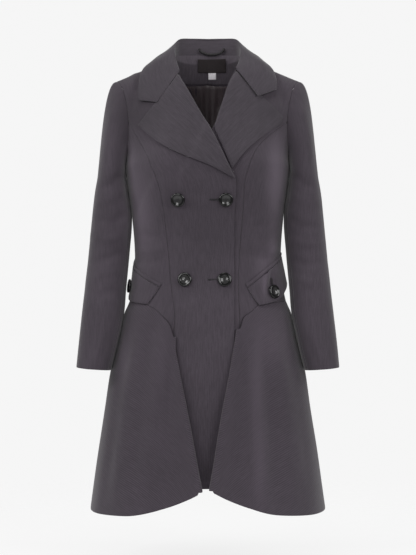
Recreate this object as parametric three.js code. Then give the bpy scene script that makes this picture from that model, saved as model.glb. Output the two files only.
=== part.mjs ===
import * as THREE from "three";

// A double-breasted skater coat, filled out as if worn.
// Lengths are millimetres. X runs to the wearer's left, Y to the back and Z up.
// The origin lies between the two shoulders, at the height of the shoulder line's middle.

const HALF_TURN = Math.PI;
const QUARTER = Math.PI / 2;
const DEGREE = Math.PI / 180;
const NUDGE = 1e-4; // keeps an angle off a seam where two surfaces meet
const SMALL_STEP = 0.01; // step for working out a surface's direction

// Cloth thicknesses and the gap kept between pieces.
const CLOTH = 2;
const SKIRT_CLOTH = 1.8;
const TURNED_CLOTH = 2.6;
const LINING_CLOTH = 1;
const SEAM = 0.3;

// Heights that drive the coat.
const ARMPIT_Z = -200;
const UPPER_LEVELS = 200; // levels 0 to 200 climb from the armpit to the shoulder seam
const NECK_SIDE = { x: 72, z: 36 };
const SHOULDER_SLOPE = 0.42;
const NECK_SLOPE = 0.75;
const FRONT_HEM_Z = -840;
const LAP = 3.7; // how far the overlap stands off the underlap
const LAP_RAMP = { start: 27, end: 8 }; // where it rises, before the underlap's edge

const ROUNDNESS = 2 / 2.3; // power of a section: 1 is an ellipse
const YOKE_REACH = 0.62; // share of a quarter turn that a chest section covers
const REACH_CLIMB = 40; // levels over which the section opens to that share
const FRONT_SLOPE = 1.5; // power that flattens the chest under the shoulder seam
const BUST = { rise: 16, x: 92, z: -190, across: 45, down: 75 };

// Sections of the body below the armpit: half width, and depth to the front and back.
const BODY = [
  { z: -916, width: 247.4, front: 156, back: 206 },
  { z: -806, width: 231.8, front: 148, back: 190 },
  { z: -699, width: 215.5, front: 140, back: 168 },
  { z: -619, width: 203.7, front: 134, back: 152 },
  { z: -559, width: 189, front: 129, back: 138 },
  { z: -502, width: 175.6, front: 121, back: 122 },
  { z: -475, width: 164.2, front: 116, back: 114 },
  { z: -449, width: 158.5, front: 111, back: 106 },
  { z: -412, width: 155, front: 106, back: 95 },
  { z: -375, width: 153, front: 102, back: 88 },
  { z: -302, width: 158.3, front: 109, back: 96 },
  { z: -241, width: 166.3, front: 119, back: 106 },
  { z: -200, width: 172, front: 122, back: 110 },
];

// The armhole by height share: half width, and how far it lies to the front and back.
const ARMHOLE = [
  { share: 0, width: 172, front: 0, back: 0 },
  { share: 0.05, width: 169.6, front: 22, back: 24 },
  { share: 0.15, width: 166.5, front: 43, back: 46 },
  { share: 0.33, width: 165, front: 50, back: 57 },
  { share: 0.5, width: 170, front: 44, back: 52 },
  { share: 0.7, width: 179, front: 27, back: 36 },
  { share: 0.85, width: 187, front: 11, back: 18 },
  { share: 1, width: 193, front: 0, back: 0 },
];

// Seams and edges of the fronts and back, by level under or over the armpit.
const OVERLAP_EDGE = [
  { level: -640, x: 53.5 },
  { level: -100, x: 54 },
  { level: -24, x: 57.5 },
  { level: 0, x: 46 },
  { level: 33, x: 6 },
  { level: 55, x: -17 },
  { level: 88, x: -42.6 },
  { level: 118, x: -59.2 },
  { level: 160, x: -67 },
  { level: 200, x: -72 },
];
const UNDERLAP_EDGE = [
  { level: -640, x: -46 },
  { level: -100, x: -46 },
  { level: -24, x: -44 },
  { level: 0, x: -30 },
  { level: 33, x: 6 },
  { level: 55, x: 24 },
  { level: 94, x: 42 },
  { level: 122, x: 55.5 },
  { level: 160, x: 67 },
  { level: 200, x: 72 },
];
const PRINCESS_RIGHT = [
  { level: -640, x: -75 },
  { level: -347, x: -69.5 },
  { level: -300, x: -67.5 },
  { level: -244, x: -75 },
  { level: -166, x: -82 },
  { level: -81, x: -92 },
  { level: -27, x: -104 },
  { level: 11, x: -122 },
  { level: 40, x: -146 },
  { level: 66, x: -166 },
];
const PRINCESS_LEFT = [
  { level: -640, x: 70 },
  { level: -330, x: 66 },
  { level: -250, x: 63 },
  { level: -166, x: 66 },
  { level: -81, x: 73 },
  { level: -36, x: 75 },
  { level: 0, x: 84 },
  { level: 25, x: 104 },
  { level: 50, x: 141 },
  { level: 66, x: 166 },
];
const PRINCESS_BACK = [
  { level: -700, x: 122 },
  { level: -400, x: 100 },
  { level: -275, x: 92 },
  { level: -174, x: 84 },
  { level: -40, x: 104 },
  { level: 30, x: 130 },
  { level: 84, x: 168 },
];
const PRINCESS_TOP = 66;
const SPREAD_LEVEL = -150; // below this the rows of a side panel spread to meet the hip seam
const BACK_PRINCESS_TOP = 84;

// The hip seam and the hem, by angle from the middle of the front.
const YOKE_RIGHT = [
  { turn: 18.8, z: -546 },
  { turn: 22, z: -523 },
  { turn: 27, z: -508 },
  { turn: 34.4, z: -493 },
  { turn: 45.6, z: -482 },
  { turn: 90, z: -474 },
  { turn: 130, z: -476 },
  { turn: 180, z: -482 },
];
const YOKE_LEFT = [
  { turn: 18.1, z: -530 },
  { turn: 21.1, z: -508 },
  { turn: 27.4, z: -496 },
  { turn: 34.8, z: -483 },
  { turn: 60, z: -476 },
  { turn: 90, z: -474 },
  { turn: 130, z: -476 },
  { turn: 180, z: -482 },
];
const HEM = [
  { turn: 0, z: -852 },
  { turn: 7, z: -870 },
  { turn: 17, z: -887 },
  { turn: 30, z: -900.5 },
  { turn: 44, z: -906 },
  { turn: 64, z: -908 },
  { turn: 90, z: -906.5 },
  { turn: 120, z: -904 },
  { turn: 150, z: -897 },
  { turn: 180, z: -892 },
];

// The rolled front edge of each skirt panel, and its soft flutes.
// most is as far out as the edge may lie.
const FOLD_RIGHT = { topX: 70.7, topZ: -544, hemX: 10, hemZ: -852, most: 64.5 };
const FOLD_LEFT = { topX: 59.3, topZ: -526, hemX: 1.5, hemZ: -852, most: 59.3 };
const SKIRT_STAND = 40;
const SKIRT_DROP = 310;
const FLUTE_DROP = { start: 20, full: 372 };
const ROLL = { top: 2.4, hem: 8, stand: 6.4, spread: 9 };
const FLUTES_RIGHT = [
  { turn: 38, rise: 8, spread: 9 },
  { turn: 68, rise: 6, spread: 8 },
  { turn: 116, rise: 9, spread: 9 },
  { turn: 142, rise: 10, spread: 8 },
];
const FLUTES_LEFT = [
  { turn: 25, rise: 9, spread: 7 },
  { turn: 60, rise: 7, spread: 9 },
  { turn: 112, rise: 10, spread: 9 },
  { turn: 140, rise: 9, spread: 8 },
];

// Sleeve rings below the armpit; tilt lifts the outer side.
const SLEEVE = [
  { z: -614, outer: 272.5, inner: 202.8, front: -98, back: 2, tilt: 3 },
  { z: -559, outer: 268, inner: 188.7, front: -92, back: 14, tilt: 0 },
  { z: -502, outer: 262.6, inner: 176.7, front: -84, back: 28, tilt: 0 },
  { z: -450, outer: 257.4, inner: 171.9, front: -73, back: 43, tilt: 0 },
  { z: -373, outer: 249.6, inner: 164, front: -62, back: 60, tilt: 0 },
  { z: -302, outer: 242.6, inner: 160.6, front: -59, back: 67, tilt: 0 },
  { z: -250, outer: 237, inner: 167.6, front: -60, back: 71, tilt: 0 },
  { z: -216, outer: 231.2, inner: 172.6, front: -61, back: 74, tilt: 0 },
];
const SLEEVE_ROUNDNESS = 2 / 2.2;
const SLEEVE_SEAMS = { front: 150, back: -125 };
const CAP_ROWS = 7;
const RING_ROWS = 8;
const SLEEVE_GAP = 0.002; // half a sleeve seam's gap, as an angle
// How a cap leaves the armhole and arrives at the first ring, at its foot and its top.
const CAP_LEAVE = { foot: { x: 8, z: -3 }, top: { x: 76, z: -3 }, y: -18 };
const CAP_ARRIVE = { foot: 0, top: 22, y: -2 };
const ARMHOLE_GAP = [
  { height: 0, gap: 1.3 },
  { height: 0.08, gap: 0.5 },
  { height: 0.9, gap: 0.5 },
  { height: 0.97, gap: 1.4 },
  { height: 1, gap: 4.2 },
];

// Curves of the collar from the middle of the back (share 0) to its front end (share 1).
const COLLAR_SEAM = [
  { share: 0, x: 0, y: 61, z: 46 },
  { share: 0.2, x: 32, y: 57, z: 45 },
  { share: 0.4, x: 58, y: 38, z: 42 },
  { share: 0.55, x: 67.5, y: 14, z: 40 },
  { share: 0.7, x: 68, y: -14, z: 33 },
  { share: 0.85, x: 63, y: -38, z: 17 },
  { share: 1, x: 58.5, y: -56, z: 0.5 },
];
const COLLAR_FOLD = [
  { share: 0, x: 0, y: 72, z: 85 },
  { share: 0.2, x: 34, y: 68, z: 85 },
  { share: 0.4, x: 58, y: 50, z: 82 },
  { share: 0.55, x: 67, y: 26, z: 71 },
  { share: 0.7, x: 70, y: -2, z: 53 },
  { share: 0.85, x: 67, y: -32, z: 27 },
  { share: 1, x: 58.5, y: -58.5, z: 3 },
];
const COLLAR_MIDDLE = [
  { share: 0, x: 0, y: 88, z: 45 },
  { share: 0.2, x: 42, y: 84, z: 46 },
  { share: 0.4, x: 78, y: 64, z: 47 },
  { share: 0.55, x: 97, y: 34, z: 44 },
  { share: 0.7, x: 107, y: -4, z: 36 },
  { share: 0.85, x: 109, y: -38, z: 12 },
  { share: 1, x: 104, y: -84.5, z: -65 },
];
const COLLAR_EDGE = [
  { share: 0, x: 0, y: 92, z: 2 },
  { share: 0.2, x: 48, y: 88, z: 4 },
  { share: 0.4, x: 92, y: 66, z: 10 },
  { share: 0.55, x: 119, y: 36, z: 16 },
  { share: 0.7, x: 133, y: -6, z: 17 },
  { share: 0.85, x: 143, y: -37, z: -10 },
  { share: 1, x: 143.5, y: -69.5, z: -58 },
];
const COLLAR_LEFT_LIFT = { seam: 5, middle: 12.5, edge: 23.5, edgeY: 8 }; // the left end lies higher
const COLLAR_RISE = 2;
const COLLAR_LEFT_FROM = { end: 0.6, edge: 0.8 }; // shares where the left end starts to lift
const STAND_HOLLOW = { depth: 1.2, steep: 3 };

// Lapel outlines seen from the front, from the top corner clockwise or anticlockwise.
const LAPEL_RIGHT = {
  side: -1,
  corner: { x: -59.5, z: -6.5 },
  tip: { x: -142, z: -111 },
  fold: [
    { share: 0, x: -59.5, z: -6.5 },
    { share: 0.2, x: -42.6, z: -36 },
    { share: 0.4, x: -17, z: -82.6 },
    { share: 0.58, x: 6, z: -122 },
    { share: 1, x: 56.5, z: -220 },
  ],
  lower: [
    { share: 0, x: -142, z: -111 },
    { share: 0.12, x: -119, z: -134 },
    { share: 0.25, x: -95, z: -153 },
    { share: 0.38, x: -68, z: -168 },
    { share: 0.55, x: -34, z: -182 },
    { share: 0.78, x: 14, z: -201 },
    { share: 1, x: 54.5, z: -222.5 },
  ],
};
const LAPEL_LEFT = {
  side: 1,
  corner: { x: 56, z: -0.5 },
  tip: { x: 154, z: -93 },
  fold: [
    { share: 0, x: 56, z: -0.5 },
    { share: 0.3, x: 42, z: -27 },
    { share: 1, x: 12.5, z: -118 },
  ],
  lower: [
    { share: 0, x: 154, z: -93 },
    { share: 0.15, x: 147, z: -108 },
    { share: 0.45, x: 112, z: -135 },
    { share: 0.72, x: 78, z: -167 },
    { share: 1, x: 50, z: -203 },
  ],
};
const LAPEL_LIE = 4.2; // outer face of a lapel above the cloth under it
const LAPEL_ROLL = { rise: 3.2, width: 14 };
const LAPEL_FOLD = { lie: TURNED_CLOTH + 0.6, from: -1, to: 4 }; // lower along the fold itself

// Pocket flaps: angles along the top and lower edges, with their heights.
const FLAP_RIGHT = {
  side: -1,
  top: [
    { share: 0, turn: 35.5, z: -446 },
    { share: 0.45, turn: 62, z: -421 },
    { share: 1, turn: 99, z: -394 },
  ],
  lower: [
    { share: 0, turn: 45, z: -481 },
    { share: 0.3, turn: 62, z: -478 },
    { share: 0.7, turn: 86, z: -470 },
    { share: 1, turn: 103, z: -452 },
  ],
  lift: 2.5,
};
const FLAP_LEFT = {
  side: 1,
  top: [
    { share: 0, turn: 27.5, z: -447 },
    { share: 0.45, turn: 50, z: -413 },
    { share: 1, turn: 84, z: -380 },
  ],
  lower: [
    { share: 0, turn: 35.5, z: -483 },
    { share: 0.35, turn: 46, z: -479 },
    { share: 0.65, turn: 60, z: -470 },
    { share: 0.85, turn: 74, z: -454 },
    { share: 1, turn: 86, z: -441 },
  ],
  lift: 7,
};
const FLAP_LIE = 3.2;
const FLAP_LIFT_SHARE = 0.35; // share of the lift at the flap's front end
const WELT = { depth: 7, lie: 2.7, cloth: 1.8, gap: 0.8, lean: 1.5 };

// Buttons: a dished disc with a raised rim, radius against height.
const BUTTON_PROFILE = [
  { radius: 0, height: 0 },
  { radius: 11, height: 0 },
  { radius: 14, height: 1.8 },
  { radius: 13.4, height: 4 },
  { radius: 11.6, height: 4.9 },
  { radius: 9.6, height: 3.9 },
  { radius: 0, height: 2.9 },
];
const BUTTON_SIDES = 20;
const BUTTONS = [
  { name: "button_upper_outer", x: -60.6, z: -265.7 },
  { name: "button_upper_edge", x: 37, z: -265.7 },
  { name: "button_lower_outer", x: -46.4, z: -430 },
  { name: "button_lower_edge", x: 33.7, z: -430 },
];
const BUTTON_STAND = LAP + 0.8;
const FLAP_BUTTON_STAND = 1.6;
const FLAP_BUTTONS = [
  { name: "flap_button_right", flap: FLAP_RIGHT, share: 0.68, down: 0.56 },
  { name: "flap_button_left", flap: FLAP_LEFT, share: 0.5, down: 0.7 },
];

// Pieces inside the neck.
const FACING = { lowZ: -10, reach: 82, cloth: 1.2, widen: 1.28, topDrop: 3, least: 4 };
// The lining's reach is its share of a quarter turn above and under the armpit.
const LINING = { lowZ: -868, under: 1.5, curveShare: 0.47, reachHigh: 0.86, reachLow: 0.93 };
const LABEL = { x: 8.6, z: 27.4, width: 63, height: 28, cloth: 0.8 };
const TAG = { x: 10.2, z: 6.2, width: 17, height: 13.6, cloth: 0.8 };
const LOOP = { x: 8.5, y: 55, half: 26, topZ: 61.5, lowZ: 48.5, turn: 1.2, hang: 4, radius: 2.4 };
const LOOP_MESH = { stops: 8, sides: 3, steps: 14 };

// Rows and columns of the grids that the pieces are made on.
const GRID = {
  overlap: 10,
  underlap: 8,
  lapelRows: { right: 12, left: 10 },
  lapelColumns: 6,
  sleeveTop: 12,
  sleeveUnder: 5,
  flap: { rows: 5, columns: 9 },
  facing: { rows: 4, columns: 16 },
  lining: { rows: 16, columns: 14 },
  patch: { rows: 3, columns: 4 },
};
const TURN = 360;

const cloth = (color) => new THREE.MeshStandardMaterial({ color, roughness: 0.85, metalness: 0 });
const WOOL = cloth(0x494349);
const SATIN = new THREE.MeshStandardMaterial({ color: 0x241f22, roughness: 0.45, metalness: 0 });
const BLACK_TRIM = new THREE.MeshStandardMaterial({ color: 0x16120f, roughness: 0.6, metalness: 0 });
const WHITE_TRIM = cloth(0xd6d0d4);
const GLOSS = new THREE.MeshStandardMaterial({ color: 0x08070a, roughness: 0.12, metalness: 0 });

const mix = THREE.MathUtils.lerp;
const clamp = THREE.MathUtils.clamp;
const ease = (value, low, high) => THREE.MathUtils.smoothstep(value, low, high);

// A smooth curve through the rows of a table whose key column climbs.
function along(table, key, at, column) {
  const last = table.length - 1;
  if (at <= table[0][key]) return table[0][column];
  if (at >= table[last][key]) return table[last][column];
  let row = 0;
  while (table[row + 1][key] < at) row += 1;
  const slope = (middle) => {
    const before = table[Math.max(middle - 1, 0)];
    const after = table[Math.min(middle + 1, last)];
    return (after[column] - before[column]) / (after[key] - before[key]);
  };
  const step = table[row + 1][key] - table[row][key];
  const share = (at - table[row][key]) / step;
  const ends = [table[row][column], table[row + 1][column]];
  return hermite(ends[0], slope(row) * step, ends[1], slope(row + 1) * step, share);
}

function hermite(from, leave, to, arrive, share) {
  const square = share * share;
  const cube = square * share;
  return (
    from * (2 * cube - 3 * square + 1) +
    leave * (cube - 2 * square + share) +
    to * (3 * square - 2 * cube) +
    arrive * (cube - square)
  );
}

const pointAlong = (table, share) =>
  new THREE.Vector3(
    along(table, "share", share, "x"),
    along(table, "share", share, "y"),
    along(table, "share", share, "z"),
  );

const across = (angle) => Math.pow(Math.max(Math.sin(angle), 0), ROUNDNESS);
const deep = (angle) => Math.pow(Math.max(Math.cos(angle), 0), ROUNDNESS);

function shoulderZ(x) {
  const out = Math.abs(x) - NECK_SIDE.x;
  return NECK_SIDE.z - out * (out > 0 ? SHOULDER_SLOPE : NECK_SLOPE);
}

function bustRise(x, z) {
  const sideways = (Math.abs(x) - BUST.x) / BUST.across;
  const upDown = (z - BUST.z) / BUST.down;
  return BUST.rise * Math.exp(-sideways * sideways - upDown * upDown);
}

// The largest angle of a section: a quarter turn at the armpit and less across the chest.
const reachAt = (level) => QUARTER * mix(1, YOKE_REACH, ease(level, 0, REACH_CLIMB));

const widthAt = (level) =>
  level <= 0
    ? along(BODY, "z", ARMPIT_Z + level, "width")
    : along(ARMHOLE, "share", level / UPPER_LEVELS, "width");

// The coat's outer surface by angle from the front, positive to the wearer's left, and level.
function coat(theta, level) {
  const side = theta < 0 ? -1 : 1;
  const round = Math.abs(theta);
  const back = round > QUARTER;
  const half = back ? "back" : "front";
  const turn = back ? HALF_TURN - round : round;
  if (level <= 0) {
    const z = ARMPIT_Z + level;
    const x = widthAt(level) * across(turn);
    const bust = back ? 0 : bustRise(x, z);
    const y = (along(BODY, "z", z, half) + bust) * deep(turn);
    return new THREE.Vector3(side * x, back ? y : -y, z);
  }
  const share = level / UPPER_LEVELS;
  const climb = share * QUARTER;
  const reach = reachAt(level);
  const x = (widthAt(level) * across((turn / QUARTER) * reach)) / across(reach);
  const z = ARMPIT_Z + (shoulderZ(x) - ARMPIT_Z) * Math.sin(climb);
  const edge = along(ARMHOLE, "share", share, half);
  const power = back ? 1 : FRONT_SLOPE;
  const middle = BODY[BODY.length - 1][half] * Math.pow(Math.max(Math.cos(climb), 0), power);
  const inward = (deep((turn / QUARTER) * reach) - deep(reach)) / (1 - deep(reach));
  const bust = back ? 0 : bustRise(x, z) * inward;
  const y = edge + (middle - edge) * inward + bust;
  return new THREE.Vector3(side * x, back ? y : -y, z);
}

// The angle at which a section reaches a given x.
function angleAt(x, level, back = false) {
  const reach = level > 0 ? reachAt(level) : QUARTER;
  const share = Math.min(1, Math.abs(x) / widthAt(level)) * across(reach);
  const turn = (Math.asin(Math.min(1, Math.pow(share, 1 / ROUNDNESS))) / reach) * QUARTER;
  const round = back ? HALF_TURN - turn : turn;
  return x < 0 ? -round : round;
}

// The level of a point seen from the front or back.
function levelAt(x, z) {
  if (z <= ARMPIT_Z) return z - ARMPIT_Z;
  const height = (z - ARMPIT_Z) / (shoulderZ(x) - ARMPIT_Z);
  return (UPPER_LEVELS * Math.asin(Math.min(1, height))) / QUARTER;
}

// The outward direction of a surface by small steps to each side.
function facing(surface, u, v, stepU, stepV, holdU = (value) => value, holdV = (value) => value) {
  const alongU = surface(holdU(u + stepU), v).sub(surface(holdU(u - stepU), v));
  const alongV = surface(u, holdV(v + stepV)).sub(surface(u, holdV(v - stepV)));
  return alongU.cross(alongV).normalize();
}

// A point of the coat moved out by a rise, with its direction.
function onCoat(theta, level, rise = 0) {
  const front = Math.abs(theta) <= QUARTER;
  const hold = (angle) => {
    if (level <= 0) {
      if (angle > HALF_TURN) return angle - 2 * HALF_TURN;
      return angle < -HALF_TURN ? angle + 2 * HALF_TURN : angle;
    }
    if (front) return clamp(angle, -QUARTER + NUDGE, QUARTER - NUDGE);
    if (theta > 0) return Math.max(angle, QUARTER + NUDGE);
    return Math.min(angle, -QUARTER - NUDGE);
  };
  const direction = facing(
    (angle, at) => {
      const past = Math.abs(angle) - HALF_TURN;
      if (past <= 0) return coat(angle, at);
      const point = coat(Math.sign(angle) * (HALF_TURN - past), at);
      point.x = -point.x;
      return point;
    },
    theta,
    level,
    SMALL_STEP,
    1,
    hold,
    (at) => Math.min(at, UPPER_LEVELS),
  );
  return { point: coat(theta, level).addScaledVector(direction, rise), direction };
}

// A closed wall from rows of outer points and the inner points behind them.
function wall(name, outer, inner, material) {
  const rows = outer.length;
  const columns = outer[0].length;
  const points = [...outer.flat(), ...inner.flat()];
  const inside = rows * columns;
  const faces = [];
  const quad = (a, b, c, d) => faces.push(a, b, c, a, c, d);
  const at = (row, column) => row * columns + column;
  for (let row = 0; row < rows - 1; row += 1) {
    for (let column = 0; column < columns - 1; column += 1) {
      const below = [at(row + 1, column), at(row + 1, column + 1)];
      const corners = [at(row, column), ...below, at(row, column + 1)];
      quad(...corners);
      quad(...corners.map((corner) => corner + inside).reverse());
    }
  }
  const rim = [];
  for (let row = 0; row < rows - 1; row += 1) rim.push(at(row, 0));
  for (let column = 0; column < columns - 1; column += 1) rim.push(at(rows - 1, column));
  for (let row = rows - 1; row > 0; row -= 1) rim.push(at(row, columns - 1));
  for (let column = columns - 1; column > 0; column -= 1) rim.push(at(0, column));
  rim.forEach((from, step) => {
    const to = rim[(step + 1) % rim.length];
    quad(to, from, from + inside, to + inside);
  });
  let volume = 0;
  for (let face = 0; face < faces.length; face += 3) {
    const [a, b, c] = faces.slice(face, face + 3).map((index) => points[index]);
    volume += a.dot(b.clone().cross(c));
  }
  if (volume < 0) faces.reverse();
  const geometry = new THREE.BufferGeometry().setFromPoints(points);
  geometry.setIndex(faces);
  geometry.computeVertexNormals();
  const mesh = new THREE.Mesh(geometry, material);
  mesh.name = name;
  return mesh;
}

// A wall whose outer points come from a function of row and column shares.
function sheet(name, rowShares, columnShares, place, thickness, material) {
  const placed = rowShares.map((row) => columnShares.map((column) => place(row, column)));
  const outer = placed.map((row) => row.map((spot) => spot.point));
  const inner = placed.map((row) =>
    row.map((spot) => spot.point.clone().addScaledVector(spot.direction, -thickness)),
  );
  return wall(name, outer, inner, material);
}

const shares = (count) => Array.from({ length: count + 1 }, (_, index) => index / count);
const stretch = (from, to, count) => shares(count).map((share) => mix(from, to, share));

const hemLevel = (turn) => along(HEM, "turn", turn, "z") - ARMPIT_Z;

// Fronts and backs: rows of levels between two edges.

const HALF_SEAM = 0.0011; // half a seam's gap as an angle of the body
const SIDE_COLUMNS = 9;
const SIDE_TOP_DROP = 2; // a side panel's point stops short of the front's
const FOOT_CLEAR = 5; // least height between a side panel's last two rows
const YOKE_GAP = 3 * SEAM; // above the hip seam, where rows run at a slant

const SEAM_LEVELS = [50, 33, 18, 0, -24, -48, -80, -115, -150, -190, -230, -270, -300, -330];
const frontLevels = [
  ...[198.5, 184, 166, 144, 122, 104, 86, PRINCESS_TOP],
  ...SEAM_LEVELS,
  ...stretch(-346, FRONT_HEM_Z - ARMPIT_Z, 5),
];
const BACK_SEAM_LEVELS = [60, 36, 12, -20, -55, -90, -125, -160, -200, -240, -279];

function overlapRise(theta, level) {
  const x = coat(theta, level).x;
  const from = along(UNDERLAP_EDGE, "level", level, "x");
  return LAP * ease(x, from - LAP_RAMP.start, from - LAP_RAMP.end);
}

function frontPanel(name, armSide, princess, edge, rise, columns) {
  const place = (level, share) => {
    const seamAngle = angleAt(along(princess, "level", level, "x"), level);
    const seam = level >= PRINCESS_TOP ? armSide * QUARTER : seamAngle;
    const closed = angleAt(along(edge, "level", level, "x"), level);
    const theta = mix(seam - armSide * HALF_SEAM * 2, closed, share);
    return onCoat(theta, level, rise(theta, level));
  };
  return sheet(name, frontLevels, shares(columns), place, CLOTH, WOOL);
}

// The level at which the hip seam crosses each angle.
const yokeLevel = (yoke, turn) => along(yoke, "turn", turn, "z") - ARMPIT_Z;

function sidePanel(name, side, princess, yoke, back) {
  const top = (back ? BACK_PRINCESS_TOP : PRINCESS_TOP) - SIDE_TOP_DROP;
  const sideSeam = back ? QUARTER + HALF_SEAM : QUARTER - HALF_SEAM;
  const seamAngle = (level) => {
    const angle = Math.abs(angleAt(along(princess, "level", level, "x"), level, back));
    return back ? angle - HALF_SEAM : angle + HALF_SEAM;
  };
  const foot = back ? BACK_SEAM_LEVELS[BACK_SEAM_LEVELS.length - 1] : yoke[0].z - ARMPIT_Z;
  const seamLevels = (back ? BACK_SEAM_LEVELS : SEAM_LEVELS).filter((level) => level > foot + FOOT_CLEAR);
  const place = (level, column) => {
    const theta = mix(seamAngle(level), sideSeam, column);
    const footAngle = mix(seamAngle(foot), sideSeam, column) / DEGREE;
    const fall = Math.max(0, (level - SPREAD_LEVEL) / (foot - SPREAD_LEVEL));
    const end = (column > 0 ? yokeLevel(yoke, footAngle) : foot) + YOKE_GAP;
    return onCoat(side * theta, fall > 0 ? mix(SPREAD_LEVEL, end, fall) : level);
  };
  return sheet(name, [top, ...seamLevels, foot], shares(SIDE_COLUMNS), place, CLOTH, WOOL);
}

// The back: one piece on the fold, its neck cut in a curve between the shoulder seams.
const NECK_BACK_LEVEL = 127;
const BACK_HEM_ARC = 22; // degrees of the hem to each side of the back's middle
const NECK_SIDE_SHARE = angleAt(NECK_SIDE.x, UPPER_LEVELS) / QUARTER;
const BACK_COLUMNS = [
  ...[-1, -0.8, -0.6, -0.42],
  ...[-1, -0.94, -0.8, -0.5, 0, 0.5, 0.8, 0.94, 1].map((share) => share * NECK_SIDE_SHARE),
  ...[0.42, 0.6, 0.8, 1],
];

function backTop(share) {
  const round = Math.min(1, Math.abs(share) / NECK_SIDE_SHARE);
  const dip = 1 - Math.sqrt(1 - round * round);
  return Math.min(mix(NECK_BACK_LEVEL, UPPER_LEVELS, dip), UPPER_LEVELS - SEAM);
}

const BACK_SKIRT_ROWS = { from: -430, to: -780, count: 6 };
const BACK_ROWS = [
  ...stretch(-1, 0, 8),
  ...BACK_SEAM_LEVELS.map((level) => level - BACK_PRINCESS_TOP),
  ...stretch(BACK_SKIRT_ROWS.from, BACK_SKIRT_ROWS.to, BACK_SKIRT_ROWS.count),
];

// Rows up to zero climb to the neck, and further rows give a level under the armhole's seam end.
function backPlace(row, column) {
  const hem = hemLevel(HALF_TURN / DEGREE - BACK_HEM_ARC * Math.abs(column));
  const yokeFoot = BACK_SEAM_LEVELS[BACK_SEAM_LEVELS.length - 1];
  let level = mix(BACK_PRINCESS_TOP, backTop(column), clamp(-row, 0, 1));
  if (row < -1) level = BACK_PRINCESS_TOP + row;
  if (level < yokeFoot) {
    const last = BACK_PRINCESS_TOP + BACK_SKIRT_ROWS.to;
    level = mix(yokeFoot, hem, (level - yokeFoot) / (last - yokeFoot));
  }
  const half =
    level >= BACK_PRINCESS_TOP
      ? QUARTER - 2 * HALF_SEAM
      : HALF_TURN - angleAt(along(PRINCESS_BACK, "level", level, "x"), level, true) - HALF_SEAM;
  const turn = Math.abs(column) * half;
  return onCoat((column < 0 ? -1 : 1) * (HALF_TURN - turn), level);
}

// Skirt panels under the hip seam.

function fluteRise(flutes, turn, drop) {
  return flutes.reduce((sum, flute) => {
    const away = (turn - flute.turn) / flute.spread;
    return sum + flute.rise * Math.exp(-away * away) * ease(drop, FLUTE_DROP.start, FLUTE_DROP.full);
  }, 0);
}

function skirtSurface(side, yoke, flutes, turn, z, extra = 0) {
  const drop = Math.max(0, along(yoke, "turn", turn / DEGREE, "z") - z);
  const back = turn > QUARTER;
  const bend = back ? HALF_TURN - turn : turn;
  const depth = along(BODY, "z", z, back ? "back" : "front");
  const stand = back ? 0 : (SKIRT_STAND * drop) / SKIRT_DROP;
  const flute = fluteRise(flutes, turn / DEGREE, drop);
  const x = along(BODY, "z", z, "width") * across(bend);
  const y = (depth + stand + flute + extra) * deep(bend);
  return new THREE.Vector3(side * x, back ? y : -y, z);
}

// How far the skirt's front edge reaches towards the middle, as an angle.
function foldAngle(fold, z) {
  const share = clamp((fold.topZ - z) / (fold.topZ - fold.hemZ), 0, 1);
  const x = Math.min(mix(fold.topX, fold.hemX, share), fold.most);
  return Math.abs(angleAt(x, Math.max(z, fold.hemZ) - ARMPIT_Z));
}

// Where the back seam of a skirt panel meets the hip seam and the hem, in degrees.
const BACK_SEAM_TURN = 152;
const BACK_HEM_TURN = 158;
const SKIRT_BACK_ROWS = 10;
const SKIRT_BACK_COLUMNS = 13;
const RETURN_SHARES = [0, 0.45, 0.85];
const ROLL_ANGLES = [0, 45, 90, 135, 180];
const OUTER_COLUMNS = [0, 0.03, 0.07, 0.12, ...stretch(0.18, 1, 11)];
const SKIRT_ROWS = 12;
const SEAM_STAND = 0.2; // the return's seam edge at its top, off the front
const COLUMN_CLEAR = 1.5; // least step from the roll to the next column

function skirtFront(name, side, yoke, fold, princess, flutes) {
  const topTurn = foldAngle(fold, fold.topZ);
  const outer = (row, share, roll) => {
    const topAngle = mix(topTurn, QUARTER - HALF_SEAM, share);
    const hemAngle = mix(foldAngle(fold, fold.hemZ), QUARTER - HALF_SEAM, share);
    const topZ = along(yoke, "turn", topAngle / DEGREE, "z") - SEAM;
    const z = mix(topZ, along(HEM, "turn", hemAngle / DEGREE, "z"), row);
    const start = z > fold.topZ ? topTurn : foldAngle(fold, z);
    const turn = mix(start, QUARTER - HALF_SEAM, share);
    const away = ((turn - start) / DEGREE) / ROLL.spread;
    const extra = ROLL.stand * (1 - row) * Math.exp(-away * away) + roll;
    return skirtSurface(side, yoke, flutes, turn, z, extra);
  };
  const grid = shares(SKIRT_ROWS).map((row) => {
    const radius = mix(ROLL.top, ROLL.hem, row);
    const edge = outer(row, 0, 0);
    const seamX = Math.abs(along(princess, "level", edge.z - ARMPIT_Z, "x")) + SEAM;
    const seamTurn = angleAt(seamX, edge.z - ARMPIT_Z);
    const seam = onCoat(side * seamTurn, edge.z - ARMPIT_Z, mix(SEAM_STAND, 0, row)).point;
    const centre = new THREE.Vector3(edge.x + side * radius, edge.y + radius, edge.z);
    const inside = new THREE.Vector3(centre.x, centre.y + radius, edge.z);
    const line = RETURN_SHARES.map((share) => seam.clone().lerp(inside, share));
    ROLL_ANGLES.forEach((degrees) => {
      const angle = degrees * DEGREE;
      const swing = new THREE.Vector3(-side * Math.sin(angle) * radius, Math.cos(angle) * radius, 0);
      line.push(centre.clone().add(swing));
    });
    const first = line[line.length - 1];
    OUTER_COLUMNS.slice(1).forEach((share) => {
      const point = outer(row, share, 0);
      if (side * (point.x - first.x) > COLUMN_CLEAR) line.push(point);
      else line.push(null);
    });
    return settle(line);
  });
  return offsetSheet(name, grid, SKIRT_CLOTH, WOOL, side);
}

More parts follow.
